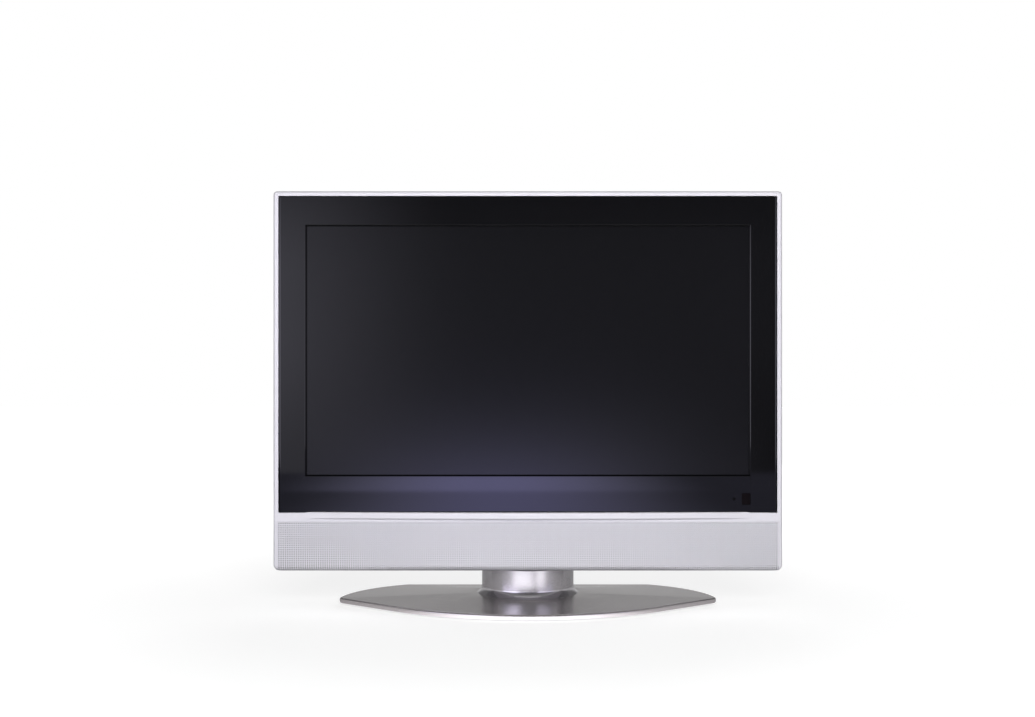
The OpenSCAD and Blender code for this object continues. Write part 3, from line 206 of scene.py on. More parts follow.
def base_outline(inset):
    """The crescent drawn in by inset: front arc, tip arc, side arc and rear corner, then their mirror
    image, with straight runs between them."""
    half = np.concatenate([
        arc(front_c, FRONT_R - inset, -np.pi / 2, FRONT_TURN - np.pi / 2, 50)[:-1],
        arc(tip_c, TIP_R - inset, FRONT_TURN - np.pi / 2, tip_turn, 20)[:-1],
        arc(SIDE_C, SIDE_R - inset, tip_turn, rear_turn, 40)[:-1],
        arc(rear_c, REAR_R - inset, rear_turn, np.pi / 2, 12),
    ])
    return np.concatenate([half, half[:0:-1] * [-1, 1]])


def at_height(outline, z):
    """A flat outline lifted to height z."""
    return np.column_stack([outline, np.full(len(outline), z)])


def skin(rings, closed=True, caps=True):
    """Points and faces of a surface whose rows are outlines of equal count: each row joins the next by
    four-sided faces, and a many-sided face closes the first and the last row."""
    rings = np.asarray(rings, float)
    index = np.arange(rings.shape[0] * rings.shape[1]).reshape(rings.shape[:2])
    beside = np.roll(index, -1, axis=1)
    if not closed:
        index, beside = index[:, :-1], beside[:, :-1]
    faces = np.stack([index[:-1], beside[:-1], beside[1:], index[1:]], axis=-1).reshape(-1, 4).tolist()
    if caps:
        faces += [index[0].tolist(), index[-1].tolist()]
    return rings.reshape(-1, 3), faces


def joined(*shells):
    """Several shells as one list of points and one of faces, with the later faces' numbers moved up."""
    starts = np.cumsum([0] + [len(points) for points, faces in shells])
    faces = [[i + s for i in face] for s, shell in zip(starts, shells) for face in shell[1]]
    return np.concatenate([points for points, faces in shells]), faces


def piece(name, shell, finish, slot, body, *replaced, crease=35):
    """Makes an object from points in mm and faces, merges its seams, turns its faces outwards and
    shades it smooth up to the crease angle in degrees. It rides on a body in place of the named solids."""
    mesh = bpy.data.meshes.new(name)
    mesh.from_pydata((shell[0] * MM).tolist(), [], shell[1])
    work = bmesh.new()
    work.from_mesh(mesh)
    bmesh.ops.remove_doubles(work, verts=work.verts, dist=WELD)
    bmesh.ops.dissolve_degenerate(work, edges=work.edges, dist=WELD)
    bmesh.ops.recalc_face_normals(work, faces=work.faces)
    work.to_mesh(mesh)
    work.free()
    mesh.materials.append(finish)
    mesh.shade_smooth()
    mesh.set_sharp_from_angle(angle=np.radians(crease))
    made = bpy.data.objects.new(name, mesh)
    bpy.context.scene.collection.objects.link(made)
    made.modifiers.new("flat faces", "WEIGHTED_NORMAL").keep_sharp = True
    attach(made, body)
    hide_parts(*replaced)
    return made


# Silver lacquer over ABS is mostly metal flake under a thin clear coat, with a soft, clouded gleam.
# The flake is drawn coarser than it is, so that it shows.
stand_lacquer = grained("silver_grey_lacquer", "#bbb6b7", "#b5b0b1", 0.8, (0.2, 0.24), 0.0001,
                        Metallic=0.78, Coat_Weight=0.15, Coat_Roughness=0.15)
# Over a quarter turn fall goes from 1 to 0 and climb from 0 to 1. All the rolled edges are made of them.
quarter = np.linspace(0, np.pi / 2, 9)
fall = 1 - np.sin(quarter)
climb = 1 - np.cos(quarter)
rim_z = FOOT_H + RIM_H
groove_in = RIM_IN + GROOVE_W
groove_z = rim_z - GROOVE_D
rim = np.concatenate([
    np.column_stack([RIM_UNDER * fall, FOOT_H + RIM_WIDEST * climb]),
    np.column_stack([RIM_IN * climb, rim_z - (RIM_H - RIM_WIDEST) * fall])[1:],
    [(RIM_IN + GROOVE_LEAN, groove_z), (groove_in - GROOVE_LEAN, groove_z), (groove_in, rim_z)],
])
crown_edge = base_outline(groove_in)
spread = crown_edge - [0, NECK_Y]
seat = [0, NECK_Y] + SEAT_R * spread / np.linalg.norm(spread, axis=1, keepdims=True)
crown_plan = crown_edge + np.linspace(0, 1, CROWN_ROWS)[:, None, None] * (seat - crown_edge)


def stretched(plan, low, high):
    """Heights of a stretched film over the plan's rows, low along the first and high along the last: each
    inner point settles at the mean of its four neighbours, weighted by how wide and how short the way
    to each is."""
    out = np.linalg.norm(plan[1:] - plan[:-1], axis=2)
    around = np.linalg.norm(np.roll(plan, -1, axis=1) - plan, axis=2)
    width = (around + np.roll(around, 1, axis=1)) / 2
    tie_out = (width[1:] + width[:-1]) / 2 / out
    tie_next = (out[1:] + out[:-1]) / 2 / around[1:-1]
    tie_last = np.roll(tie_next, 1, axis=1)
    total = tie_out[1:] + tie_out[:-1] + tie_next + tie_last
    z = low + (high - low) * np.linspace(0, 1, len(plan))[:, None] * np.ones(plan.shape[1])
    for _ in range(SETTLINGS):
        pull = tie_out[1:] * z[2:] + tie_out[:-1] * z[:-2]
        pull += tie_next * np.roll(z[1:-1], -1, axis=1) + tie_last * np.roll(z[1:-1], 1, axis=1)
        z[1:-1] = pull / total
    return z


crown = list(np.dstack([crown_plan, stretched(crown_plan, rim_z, rim_z + CROWN_H)])[1:])
pocket = base_outline(POCKET_IN)
base_rings = [at_height(pocket, POCKET_TOP), at_height(pocket, FOOT_H)]
base_rings += [at_height(base_outline(inset), z) for inset, z in rim] + crown
piece("base_cover_moulding", skin(base_rings), stand_lacquer, "stand_plastic", "stand", "base_cover")

# Neck cover, post and swivel
# The neck is a round column of silver sprayed ABS whose foot flares onto the base.
# Inside it a welded steel post carries the turning shaft, a nylon washer and a nut.
NECK_R = 61.5
NECK_EDGE = 0.8
NECK_TOP = 48.4
NECK_SIDES = 192
FLARE_W = 6.5
FLARE_H = 9.5
FLARE_TURN = np.radians(45)
SKIN_T = 2.5            # wall of the mouldings
POST_CLEAR_R = 31.0


def turned(profile, centre_y, sides):
    """A closed profile of (radius, height) carried round an upright axis:
    x = r cos a, y = r sin a + centre."""
    turn = np.linspace(0, 2 * np.pi, sides + 1)[:, None]
    return np.stack([profile[:, 0] * np.cos(turn), profile[:, 0] * np.sin(turn) + centre_y,
                     np.broadcast_to(profile[:, 1], (sides + 1, len(profile)))], axis=-1)


seat_z = rim_z + CROWN_H
flare_turn = np.linspace(0, FLARE_TURN, 17)
flare_out = (1 - np.cos(flare_turn)) / (1 - np.cos(FLARE_TURN))
flare_up = 1 - np.sin(flare_turn) / np.sin(FLARE_TURN)
column = np.concatenate([
    np.column_stack([NECK_R - NECK_EDGE * fall, NECK_TOP - NECK_EDGE * climb]),
    np.column_stack([NECK_R + FLARE_W * flare_out, seat_z + FLARE_H * flare_up]),
    [(NECK_R - SKIN_T, seat_z), (NECK_R - SKIN_T, NECK_TOP - SKIN_T),
     (POST_CLEAR_R, NECK_TOP - SKIN_T), (POST_CLEAR_R, NECK_TOP)],
])
# The column's lacquer has more flake and no clear coat, so it mirrors the table as soft metal.
column_lacquer = grained("satin_silver_lacquer", "#c2bfc3", "#bcb9bd", 0.8, (0.19, 0.21), 0.0001,
                         Metallic=0.86)
piece("neck_cover_moulding", skin(turned(column, NECK_Y, NECK_SIDES), caps=False), column_lacquer,
      "stand_plastic", "stand", "neck_cover")
# Natural nylon is a waxy cream that lets a little light in.
nylon = grained("natural_nylon", "#e6e0d0", "#d8d1bf", 1.5, (0.45, 0.6), 0.02, Subsurface_Weight=0.2)
# Sintered bronze is a dull brown gold with a fine open grain.
bronze = grained("sintered_bronze", "#a8792f", "#8a5f22", 0.5, (0.4, 0.55), 0.02, Metallic=1.0)
wear(stoved_steel, "neck_post", "stand_bracket")
wear(zinc_steel, "swivel_shaft", "swivel_nut")
wear(nylon, "thrust_washer")
wear(bronze, "swivel_bush")

# Panel module
# A liquid crystal cell under a matt polariser film, its pressed frame, and the backlight behind it:
# films, white lamp holders, thin lamp tubes, a white reflector and a bright aluminium tray.

# The polariser's matt film makes the cell a near black that blurs what it mirrors.
screen_film = grained("antiglare_polariser", "#0b0b0e", "#08080a", 0.35, (0.16, 0.2), 0.001, IOR=1.5)
# Diffuser film is an even, milky white.
film = grained("diffuser_film", "#f2f2ee", "#e6e6e2", 1.2, (0.5, 0.6), 0.01)
# White polycarbonate is bright and half matt, to throw the lamps' light forward.
white_moulding = grained("white_polycarbonate", "#eeeeea", "#e2e2de", 1.0, (0.45, 0.55), 0.02)
# The lamp tubes show the chalky white of their phosphor under smooth glass.
lamp_glass = grained("phosphor_lamp_glass", "#fbfaf4", "#efeee6", 2.0, (0.1, 0.18), 0.0, IOR=1.47)
# Pressed aluminium is a pale metal with broad, soft clouds from the press.
tray_alloy = grained("pressed_aluminium", "#c9cbce", "#b4b6ba", 4.0, (0.32, 0.45), 0.01, Metallic=1.0)
wear(screen_film, "lcd_cell")
wear(stoved_steel, "lcd_frame")
wear(film, "optical_sheets")
wear(white_moulding, "lamp_holders", "reflector")
wear(lamp_glass, "lamp_tubes")
wear(tray_alloy, "backlight_pan")
wear(zinc_steel, "panel_brackets", "chassis_rails")

# Boards
# Glass fibre boards with green lacquer over copper tracks, screwed to the tray's posts.
# Coils, a transformer, two capacitors and cooling plates stand on them.
TRACK_PITCH = 2.54
BLOCK_TRACKS = 8
TRACK_LIFT = 0.05

# Green solder mask is a satin green in which blocks of tracks stand up a little.
board_green, tree, shader, place = start("green_solder_mask", {"Roughness": 0.32, "IOR": 1.52})
tracks = add(tree, "TexBrick", {"Scale": 1 / (BLOCK_TRACKS * TRACK_PITCH * MM), "Color1": colour("#1f5a35"),
                                "Color2": colour("#256640"), "Mortar": colour("#123d22"),
                                "Mortar Size": 0.02}, {"Vector": place})
relief = add(tree, "Bump", {"Strength": 0.4, "Distance": TRACK_LIFT * MM}, {"Height": tracks.outputs["Fac"]})
tree.links.new(tracks.outputs["Color"], shader.inputs["Base Color"])
tree.links.new(relief.outputs["Normal"], shader.inputs["Normal"])
# Winding tape is a warm yellow film with a slight crinkle.
coil_tape = grained("yellow_winding_tape", "#c9a53a", "#b08c28", 2.0, (0.35, 0.5), 0.03)
# The capacitors' shrunk sleeve is a smooth, dark blue plastic.
sleeve_blue = grained("capacitor_sleeve", "#1d2c55", "#162244", 2.0, (0.25, 0.35), 0.01)
wear(board_green, "main_board", "power_board", "inverter_board", "tcon_board", "ir_board", "key_board")
wear(coil_tape, "inverter_coils", "power_transformer")
wear(sleeve_blue, "bulk_capacitors")
wear(tray_alloy, "main_heat_sink", "power_heat_sinks")
wear(film, "lvds_ribbon")
wear(zinc_steel, "board_screws")

# Sockets
# Nickel plated shells and moulded bodies that come out through a zinc plated plate in the terminal bay.
# The three pin jacks have the usual yellow, white and red.
JACKS_X0 = 130.0
JACKS_X1 = 230.0
YELLOW_END = 153.0
WHITE_END = 171.0
RED_END = 195.0
JACK_GRAIN = 0.8
JACK_PIT = 0.02

# Glass filled nylon is a half matt black with a slightly rough skin.
black_moulding = grained("black_glass_filled_nylon", "#262627", "#1a1a1b", 0.8, (0.45, 0.6), 0.03)
# The computer socket's insert is the usual mid blue, half matt.
blue_moulding = grained("blue_connector_nylon", "#2d4fae", "#264494", 0.8, (0.4, 0.5), 0.02)
# Nickel plate is a bright metal, a little warmer than zinc.
nickel = grained("nickel_plate", "#cfccc4", "#bab7ae", 2.5, (0.2, 0.3), 0.005, Metallic=1.0)
# The jacks are half matt plastic, coloured by their place in the row: yellow, white, red, and then black.
jack_body, tree, shader, place = start("jack_body_and_rings", {"Roughness": 0.4})
jack_x = add(tree, "SeparateXYZ", {}, {0: place}).outputs["X"]
along_row = add(tree, "MapRange", {"From Min": JACKS_X0 * MM, "From Max": JACKS_X1 * MM}, {"Value": jack_x})
jack_hue = add(tree, "ValToRGB", {}, {"Fac": along_row.outputs["Result"]})
jack_hue.color_ramp.interpolation = "CONSTANT"
stops = jack_hue.color_ramp.elements
stops[0].color = colour("#e2b71c")
stops[1].position = (YELLOW_END - JACKS_X0) / (JACKS_X1 - JACKS_X0)
stops[1].color = colour("#ecebe6")
for stop_x, code in ((WHITE_END, "#c3241f"), (RED_END, "#232324")):
    stops.new((stop_x - JACKS_X0) / (JACKS_X1 - JACKS_X0)).color = colour(code)
speck = add(tree, "TexNoise", {"Scale": 1 / (JACK_GRAIN * MM)}, {"Vector": place})
pits = add(tree, "Bump", {"Strength": 0.4, "Distance": JACK_PIT * MM}, {"Height": speck.outputs["Fac"]})
tree.links.new(jack_hue.outputs["Color"], shader.inputs["Base Color"])
tree.links.new(pits.outputs["Normal"], shader.inputs["Normal"])
dressed("av_jacks", jack_body, 0.2)
dressed("scart_sockets", black_moulding, 0.2)
dressed("ac_inlet", black_moulding, 0.2)
dressed("vga_socket", blue_moulding, 0.15)
dressed("hdmi_socket", nickel, 0.15)
dressed("tuner_can", nickel, 0.15)
dressed("terminal_plate", zinc_steel, 0.15)

# Front frame
# One moulding in ABS, sprayed with a pale silver lacquer: the narrow rim round the bezel, the side walls,
# the wall under the speaker bar, and a strip with a ledge that swells forward over the bar.
HALF_W = 331.0
CAB_Z0 = 49.0
CAB_Z1 = 543.0
FACE_Y = -28.0
PART_Y = 8.0            # where the frame meets the rear cover
EDGE_W = 3.2            # roll of the outer edge across the face
EDGE_D = 6.5            # and into the depth
CORNER_TOP = 5.0
CORNER_LOW = 8.5
LEAST_CORNER = 0.3
RIM_SIDE = 7.0
RIM_TOP = 6.5
BAR_RIM = 5.2           # rim beside the speaker bar
RIM_STEP = 0.005        # half the height in which the rim narrows there
GRILLE_TOP = 113.3
LEDGE_Z0 = 117.5
BAR_Z = 125.0
LEDGE_HALF = 289.5
LEDGE_BULGE = 9.0
LEDGE_RISE = 0.9
LEDGE_LOW_R = 1.2
LEDGE_TOP_R = 1.6
ROUND_FROM = 1.5        # bulge at which the ledge has its full roundings and gap
RISE_FROM = 0.15        # bulge at which it has its full rise
SHADOW_H = 1.1          # gap under the ledge
SHADOW_D = 2.0
KEY_Y = -7.0
KEY_FIRST_X = 189.0
KEY_PITCH = 17.0
KEY_W = 11.0
KEY_D = 6.0
FIT = 0.3
BAR_FLOOR_Y = -13.7
BAR_FLOOR_R = 0.4
KEY_NAMES = ["power", "source", "menu", "volume_down", "volume_up", "channel_down", "channel_up"]
key_x = KEY_FIRST_X + KEY_PITCH * np.arange(len(KEY_NAMES))
slot_x = np.sort(np.concatenate([key_x - KEY_W / 2 - FIT, key_x + KEY_W / 2 + FIT]))
slot_y0 = KEY_Y - KEY_D / 2 - FIT
slot_y1 = KEY_Y + KEY_D / 2 + FIT


def rim_ring(y, side, top, low_side):
    """One outline of the frame at depth y, drawn in by side and top: up the right side from the lower
    corner, over the top and down the left, with stops at the key slots and where the rim narrows."""
    r_top = max(CORNER_TOP - top, LEAST_CORNER)
    r_low = CORNER_LOW - low_side
    x_low = HALF_W - CORNER_LOW
    stop = np.arccos(np.clip((HALF_W - BAR_RIM - x_low) / r_low, -1, 1))
    low = arc([x_low, CAB_Z0 + CORNER_LOW], r_low, -stop, 0, 10)
    sides = np.array([[HALF_W - low_side, GRILLE_TOP - RIM_STEP], [HALF_W - side, GRILLE_TOP + RIM_STEP],
                      [HALF_W - side, BAR_Z], [HALF_W - side, (BAR_Z + CAB_Z1) / 2]])
    corner = arc([HALF_W - side - r_top, CAB_Z1 - top - r_top], r_top, 0, np.pi / 2, 10)
    half = np.concatenate([low, sides, corner])
    top_run = np.column_stack([slot_x[::-1], np.full(len(slot_x), CAB_Z1 - top)])
    path = np.concatenate([half, top_run, half[::-1] * [-1, 1]])
    return np.stack([path[:, 0], np.full(len(path), y), path[:, 1]], axis=-1)


# The rim goes round from the outer wall over the rolled edge to the inner wall.
front_roll = np.column_stack([FACE_Y + EDGE_D * fall, EDGE_W * climb])
outside = np.concatenate([[(PART_Y, 0), (slot_y1, 0), (slot_y0, 0)], front_roll])
rings = [rim_ring(y, inset, inset, inset) for y, inset in outside]
rings += [rim_ring(y, RIM_SIDE, RIM_TOP, BAR_RIM) for y in (FACE_Y, FACE_Y + SKIN_T)]
rings += [rim_ring(y, SKIN_T, SKIN_T, SKIN_T) for y in (FACE_Y + SKIN_T, slot_y0, slot_y1, PART_Y)]
rim_points, rim_faces = skin([*rings, rings[0]], closed=False, caps=False)
# Each key slot leaves out one face of the outer wall and one of the inner, and four faces join their edges.
ring_count = len(rings)
per_ring = len(rings[0])
slot_at = per_ring // 2 - len(slot_x) // 2 + 2 * np.arange(len(KEY_NAMES))
slotted = {int(row * (per_ring - 1) + at) for row in (1, ring_count - 3) for at in slot_at}
rim_faces = [face for k, face in enumerate(rim_faces) if k not in slotted]
slot_outside = slot_at[:, None] + per_ring * np.array([1, 1, 2, 2]) + [0, 1, 1, 0]
slot_inside = slot_at[:, None] + per_ring * (ring_count - np.array([2, 2, 3, 3])) + [0, 1, 1, 0]
slot_walls = np.stack([slot_outside, np.roll(slot_outside, 1, axis=1), np.roll(slot_inside, 1, axis=1),
                       slot_inside], axis=-1).reshape(-1, 4)
rim_ends = per_ring * np.arange(ring_count) + np.array([[0], [per_ring - 1]])
rim_faces += slot_walls.tolist() + rim_ends.tolist()


def bulge(x):
    """How far the ledge stands forward at x: an arc over its length, and nothing beyond its ends."""
    radius = (LEDGE_HALF ** 2 + LEDGE_BULGE ** 2) / (2 * LEDGE_BULGE)
    return np.maximum(np.sqrt(radius ** 2 - x ** 2) - (radius - LEDGE_BULGE), 0)


strip_half = HALF_W - RIM_SIDE
strip_x = np.concatenate([[-strip_half], np.linspace(-LEDGE_HALF, LEDGE_HALF, 121), [strip_half]])
swell = bulge(strip_x)
soft = np.minimum(swell / ROUND_FROM, 1)
flat = np.zeros(len(strip_x))
gap_y = FACE_Y + SHADOW_D * soft
gap_z = LEDGE_Z0 - SHADOW_H * soft
ledge_y = FACE_Y - swell
ledge_z = BAR_Z + LEDGE_RISE * np.minimum(swell / RISE_FROM, 1)
low_roll = LEDGE_LOW_R * soft
top_roll = LEDGE_TOP_R * soft
strip_y = np.vstack([
    flat + FACE_Y + SKIN_T, flat + FACE_Y, flat + FACE_Y, gap_y, gap_y,
    ledge_y + low_roll * fall[:, None], ledge_y + top_roll * climb[:, None],
    flat + FACE_Y, flat + FACE_Y + SKIN_T,
])
strip_z = np.vstack([
    flat + GRILLE_TOP, flat + GRILLE_TOP, gap_z, gap_z, flat + LEDGE_Z0,
    LEDGE_Z0 + low_roll * climb[:, None], ledge_z - top_roll * fall[:, None],
    ledge_z, flat + BAR_Z,
])
strip_rings = np.stack(np.broadcast_arrays(strip_x, strip_y, strip_z), axis=-1).transpose(1, 0, 2)


def box_rings(low, high, r):
    """A box as rows along X, with its long edges rounded by r."""
    (x0, y0, z0), (x1, y1, z1) = low, high
    corners = [((y1 - r, z1 - r), 0), ((y0 + r, z1 - r), 1), ((y0 + r, z0 + r), 2), ((y1 - r, z0 + r), 3)]
    ring = np.concatenate([arc(c, r, k * np.pi / 2, (k + 1) * np.pi / 2, 4) for c, k in corners])
    return [np.column_stack([np.full(len(ring), at), ring]) for at in (x0, x1)]


bar_floor = box_rings((BAR_RIM - HALF_W, BAR_FLOOR_Y, CAB_Z0), (HALF_W - BAR_RIM, PART_Y, CAB_Z0 + SKIN_T),
                      BAR_FLOOR_R)
# Pale silver lacquer: mica flakes in a lavender white base give a soft gleam and a very fine speckle,
# which is drawn coarser than it is, so that it shows.
silver_lacquer = grained("pale_silver_lacquer", "#e3e1e8", "#dbd9e1", 0.6, (0.36, 0.44), 0.004,
                         Metallic=0.15, Coat_Weight=0.1, Coat_Roughness=0.3)
piece("front_frame_moulding", joined((rim_points, rim_faces), skin(strip_rings), skin(bar_floor)),
      silver_lacquer, "silver_plastic", "head", "front_frame")

# Bezel
# A gloss black moulding in ABS and acrylic, dropped into the frame from behind. Its long edges are softly
# rounded, the picture opening slants in to the screen, and two holes take the window and the light pipe.
BEZEL_Y = -27.0
MODULE_Y = -21.0
VIEW_Z = 335.65
VIEW_W = 575.8
VIEW_H = 323.7
VIEW_CORNER = 0.5
BEVEL = 1.3
BEVEL_EDGE = 0.45
BEVEL_DROP = 0.25
BEZEL_CORNER = 0.3
BEZEL_ROUND = 2.6
BEZEL_DROP = 1.4
TOP_SHARE = 0.4         # the top edge's rounding as a share of the sides'
IR_X = 283.7
IR_Z = 142.8
IR_W = 11.4
IR_H = 15.0
IR_CORNER = 0.4
LED_X = 267.9
LED_R = 2.05
LIP = 6.0
FLANGE_Y = -23.5
CORNER_POINTS = 5
INSIDE_WITH_HOLES = 2   # the kind of triangulation that leaves inner loops open
CLOSE = 1e-6            # mm, points of a plate closer than this are one


def round_rect(x0, x1, z0, z1, r):
    """A rectangle with corners of radius r, anticlockwise in the XZ plane."""
    centres = [(x1 - r, z1 - r), (x0 + r, z1 - r), (x0 + r, z0 + r), (x1 - r, z0 + r)]
    turns = np.pi / 2 * np.arange(5)
    return np.concatenate([arc(c, r, first, last, CORNER_POINTS)
                           for c, first, last in zip(centres, turns, turns[1:])])


def at_depth(outline, y):
    """A flat outline in the XZ plane set at depth y."""
    return np.stack([outline[:, 0], np.full(len(outline), float(y)), outline[:, 1]], axis=-1)


def plate(loops, y):
    """A flat plate at depth y inside the first loop and outside the others, as triangles between their
    points."""
    starts = np.cumsum([0] + [len(loop) for loop in loops])
    faces = [list(range(first, last)) for first, last in zip(starts, starts[1:])]
    corners = [Vector(point) for point in np.concatenate(loops)]
    made = delaunay_2d_cdt(corners, [], faces, INSIDE_WITH_HOLES, CLOSE)
    points = np.array([tuple(point) for point in made[0]])
    return at_depth(points, y), [list(face) for face in made[2]]


def bezel_outline(inset):
    """The bezel's edge drawn in by inset at its sides and by TOP_SHARE of that at its top."""
    half = HALF_W - RIM_SIDE - FIT - inset
    top = CAB_Z1 - RIM_TOP - FIT - TOP_SHARE * inset
    return round_rect(-half, half, BAR_Z + FIT, top, BEZEL_CORNER)


def opening(grow):
    """The picture opening, made larger by grow on every side."""
    return round_rect(-VIEW_W / 2 - grow, VIEW_W / 2 + grow, VIEW_Z - VIEW_H / 2 - grow,
                      VIEW_Z + VIEW_H / 2 + grow, VIEW_CORNER)


bezel_roll = np.column_stack([BEZEL_ROUND * fall, BEZEL_Y + BEZEL_DROP * climb])
bezel_rows = [at_depth(bezel_outline(inset), y) for inset, y in [*bezel_roll, (0, FLANGE_Y)]]
slant = [(LIP, FLANGE_Y), (LIP, MODULE_Y), (0, MODULE_Y), (BEVEL, BEZEL_Y + BEVEL_DROP),
         (BEVEL + BEVEL_EDGE, BEZEL_Y)]
lip_rows = [at_depth(opening(grow), y) for grow, y in slant]
ir_hole = round_rect(IR_X - IR_W / 2, IR_X + IR_W / 2, IR_Z - IR_H / 2, IR_Z + IR_H / 2, IR_CORNER)
led_hole = arc([LED_X, IR_Z], LED_R, 0, 2 * np.pi, 33)[:-1]
holes = [ir_hole, led_hole]
face_loops = [bezel_outline(BEZEL_ROUND), opening(BEVEL + BEVEL_EDGE), *holes]
back_loops = [bezel_outline(0), opening(LIP), *holes]
hole_walls = [skin([at_depth(hole, BEZEL_Y), at_depth(hole, FLANGE_Y)], caps=False) for hole in holes]
# Polished black plastic: a deep, slightly cool black with a clear reflection and a trace of flow waviness.
piano_black = grained("polished_black_abs", "#0a0a0c", "#08080a", 30.0, (0.03, 0.05), 0.002, IOR=1.52)
piece("bezel_moulding",
      joined(skin(bezel_rows, caps=False), skin(lip_rows, caps=False), plate(face_loops, BEZEL_Y),
             plate(back_loops, FLANGE_Y), *hole_walls),
      piano_black, "black_gloss_plastic", "head", "bezel", crease=25)

# Window and light pipe
# A dark red acrylic tile over the remote control receiver, and a smoked acrylic pipe for the indicator.
# Both are moulded and sit in the bezel's two holes.

# Dark red acrylic lets only the infrared through and looks almost black, with a soft gloss.
dark_acrylic = grained("dark_red_acrylic", "#0a0406", "#070304", 4.0, (0.2, 0.26), 0.002, IOR=1.25)
# Smoked acrylic over an unlit lamp is a black dot with a soft gloss.
smoked_acrylic = grained("smoked_acrylic", "#0a0a0b", "#060607", 1.0, (0.25, 0.3), 0.002, IOR=1.25)
dressed("ir_window", dark_acrylic, 0.3)
dressed("led_lens", smoked_acrylic, 0.3)

# Speaker grille
# A sheet with a square field of small round holes, rolled under at its lower edge and sprayed to match the
# frame. Dark acoustic cloth is stretched behind the holes, with a driver at each end. The holes' walls carry
# the cloth's dark colour as painted shade.
GRILLE_HALF = 325.5
GRILLE_Z1 = 113.0
ROLL_R = 8.0
LIP_D = 14.0
GRILLE_T = 2.0
HOLE_R = 0.83
HOLE_PITCH = 2.86
HOLE_COLUMNS = 227
HOLE_ROWS = 23
FIRST_ROW = 1.6
CUP_D = 1.4             # depth at which the cloth closes the holes
TOP_LEFT = 5            # number of a hole's top left point
flat_run = GRILLE_Z1 - CAB_Z0 - ROLL_R
roll_run = ROLL_R * np.pi / 2
whole_run = flat_run + roll_run + LIP_D - ROLL_R


def rolled(s, x, depth):
    """A point of the sheet from its run s below the top edge, its place x and its depth behind the face:
    straight down the front, round a quarter circle, then straight back along the lip. The roll is
    drawn up at both ends, where it follows the frame's rounded lower corners."""
    turn = np.clip((s - flat_run) / ROLL_R, 0, np.pi / 2)
    down = np.minimum(s, flat_run)
    back = np.maximum(s - flat_run - roll_run, 0)
    y = FACE_Y + ROLL_R - (ROLL_R - depth) * np.cos(turn) + back
    beyond = np.clip(np.abs(x) - HALF_W + CORNER_LOW, 0, None)
    drawn_up = CORNER_LOW - np.sqrt(CORNER_LOW ** 2 - beyond ** 2)
    z = GRILLE_Z1 - down - (ROLL_R - depth) * np.sin(turn) * (1 - drawn_up / ROLL_R)
    return np.stack(np.broadcast_arrays(x, y, z), axis=-1)


# The front is a lattice with one cell for each hole, and plain cells at its edges and along the roll.
field_s = FIRST_ROW + HOLE_PITCH * (np.arange(HOLE_ROWS + 1) - 0.5)
field_x = HOLE_PITCH * (np.arange(HOLE_COLUMNS + 1) - HOLE_COLUMNS / 2)
roll_s = np.append(np.linspace(field_s[-1], flat_run + roll_run, 9)[1:], whole_run)
sheet_s = np.concatenate([[0.0], field_s, roll_s])
sheet_x = np.concatenate([[-GRILLE_HALF], field_x, [GRILLE_HALF]])
lattice = rolled(sheet_s[:, None], sheet_x[None, :], 0.0)
rows, columns = lattice.shape[:2]
number = np.arange(rows * columns).reshape(rows, columns)
cells = np.stack([number[:-1, :-1], number[:-1, 1:], number[1:, 1:], number[1:, :-1]], axis=-1)
holed = np.zeros((rows - 1, columns - 1), bool)
holed[1:HOLE_ROWS + 1, 1:HOLE_COLUMNS + 1] = True
# Each hole has eight sides. Counted from its top left point, one side meets an edge of the hole's cell with
# a quad, and the next a corner of it with a triangle, four times over.
eighth = np.pi / 8 + np.pi / 4 * np.arange(8)
hole_s = (field_s[:-1] + HOLE_PITCH / 2)[:, None, None] + HOLE_R * np.sin(eighth)
hole_x = (field_x[:-1] + HOLE_PITCH / 2)[None, :, None] + HOLE_R * np.cos(eighth)
mouth_points = rolled(hole_s, hole_x, 0.0).reshape(-1, 3)
cloth_points = rolled(hole_s, hole_x, CUP_D).reshape(-1, 3)
mouths = rows * columns + np.arange(len(mouth_points)).reshape(-1, 8)
cloths = mouths + len(mouth_points)
corner = cells[holed]
next_corner = np.roll(corner, -1, axis=1)
from_top = np.roll(mouths, -TOP_LEFT, axis=1)
side_first, side_last = from_top[:, 0::2], from_top[:, 1::2]
edge_quads = np.stack([next_corner, corner, side_first, side_last], axis=-1).reshape(-1, 4)
corner_tris = np.stack([next_corner, side_last, np.roll(side_first, -1, axis=1)], axis=-1).reshape(-1, 3)
cup_walls = np.stack([mouths, np.roll(mouths, -1, axis=1), np.roll(cloths, -1, axis=1), cloths],
                     axis=-1).reshape(-1, 4)
# The back is a plain sheet, joined to the front along the top, the lip and both ends.
back_s = np.concatenate([[0.0], field_s[-1:], roll_s])
back_points = rolled(back_s[:, None], sheet_x[None, :], GRILLE_T)
back_number = rows * columns + 2 * len(mouth_points) + np.arange(len(back_s) * columns).reshape(-1, columns)
back_quads = np.stack([back_number[:-1, :-1], back_number[1:, :-1], back_number[1:, 1:],
                       back_number[:-1, 1:]], axis=-1).reshape(-1, 4)
hems = [(number[k], back_number[k]) for k in (0, -1)]
hem_quads = [np.stack([f[:-1], b[:-1], b[1:], f[1:]], axis=-1) for f, b in hems]
end_caps = [np.concatenate([number[:, k], back_number[::-1, k]]).tolist() for k in (0, -1)]
grille_faces = np.concatenate([cells[~holed], edge_quads, *hem_quads, back_quads]).tolist()
grille_faces += corner_tris.tolist() + end_caps
# The faces after these take the cloth's dark colour: the cloth that closes each hole, which is real, and the
# holes' walls, where the dark is painted shade.
lacquered = len(grille_faces)
grille_faces += cup_walls.tolist() + cloths.tolist()
grille_points = np.concatenate([lattice.reshape(-1, 3), mouth_points, cloth_points,
                                back_points.reshape(-1, 3)])
grille = piece("speaker_grille_sheet", (grille_points, grille_faces), silver_lacquer, "silver_plastic",
               "head", "speaker_grille", crease=40)
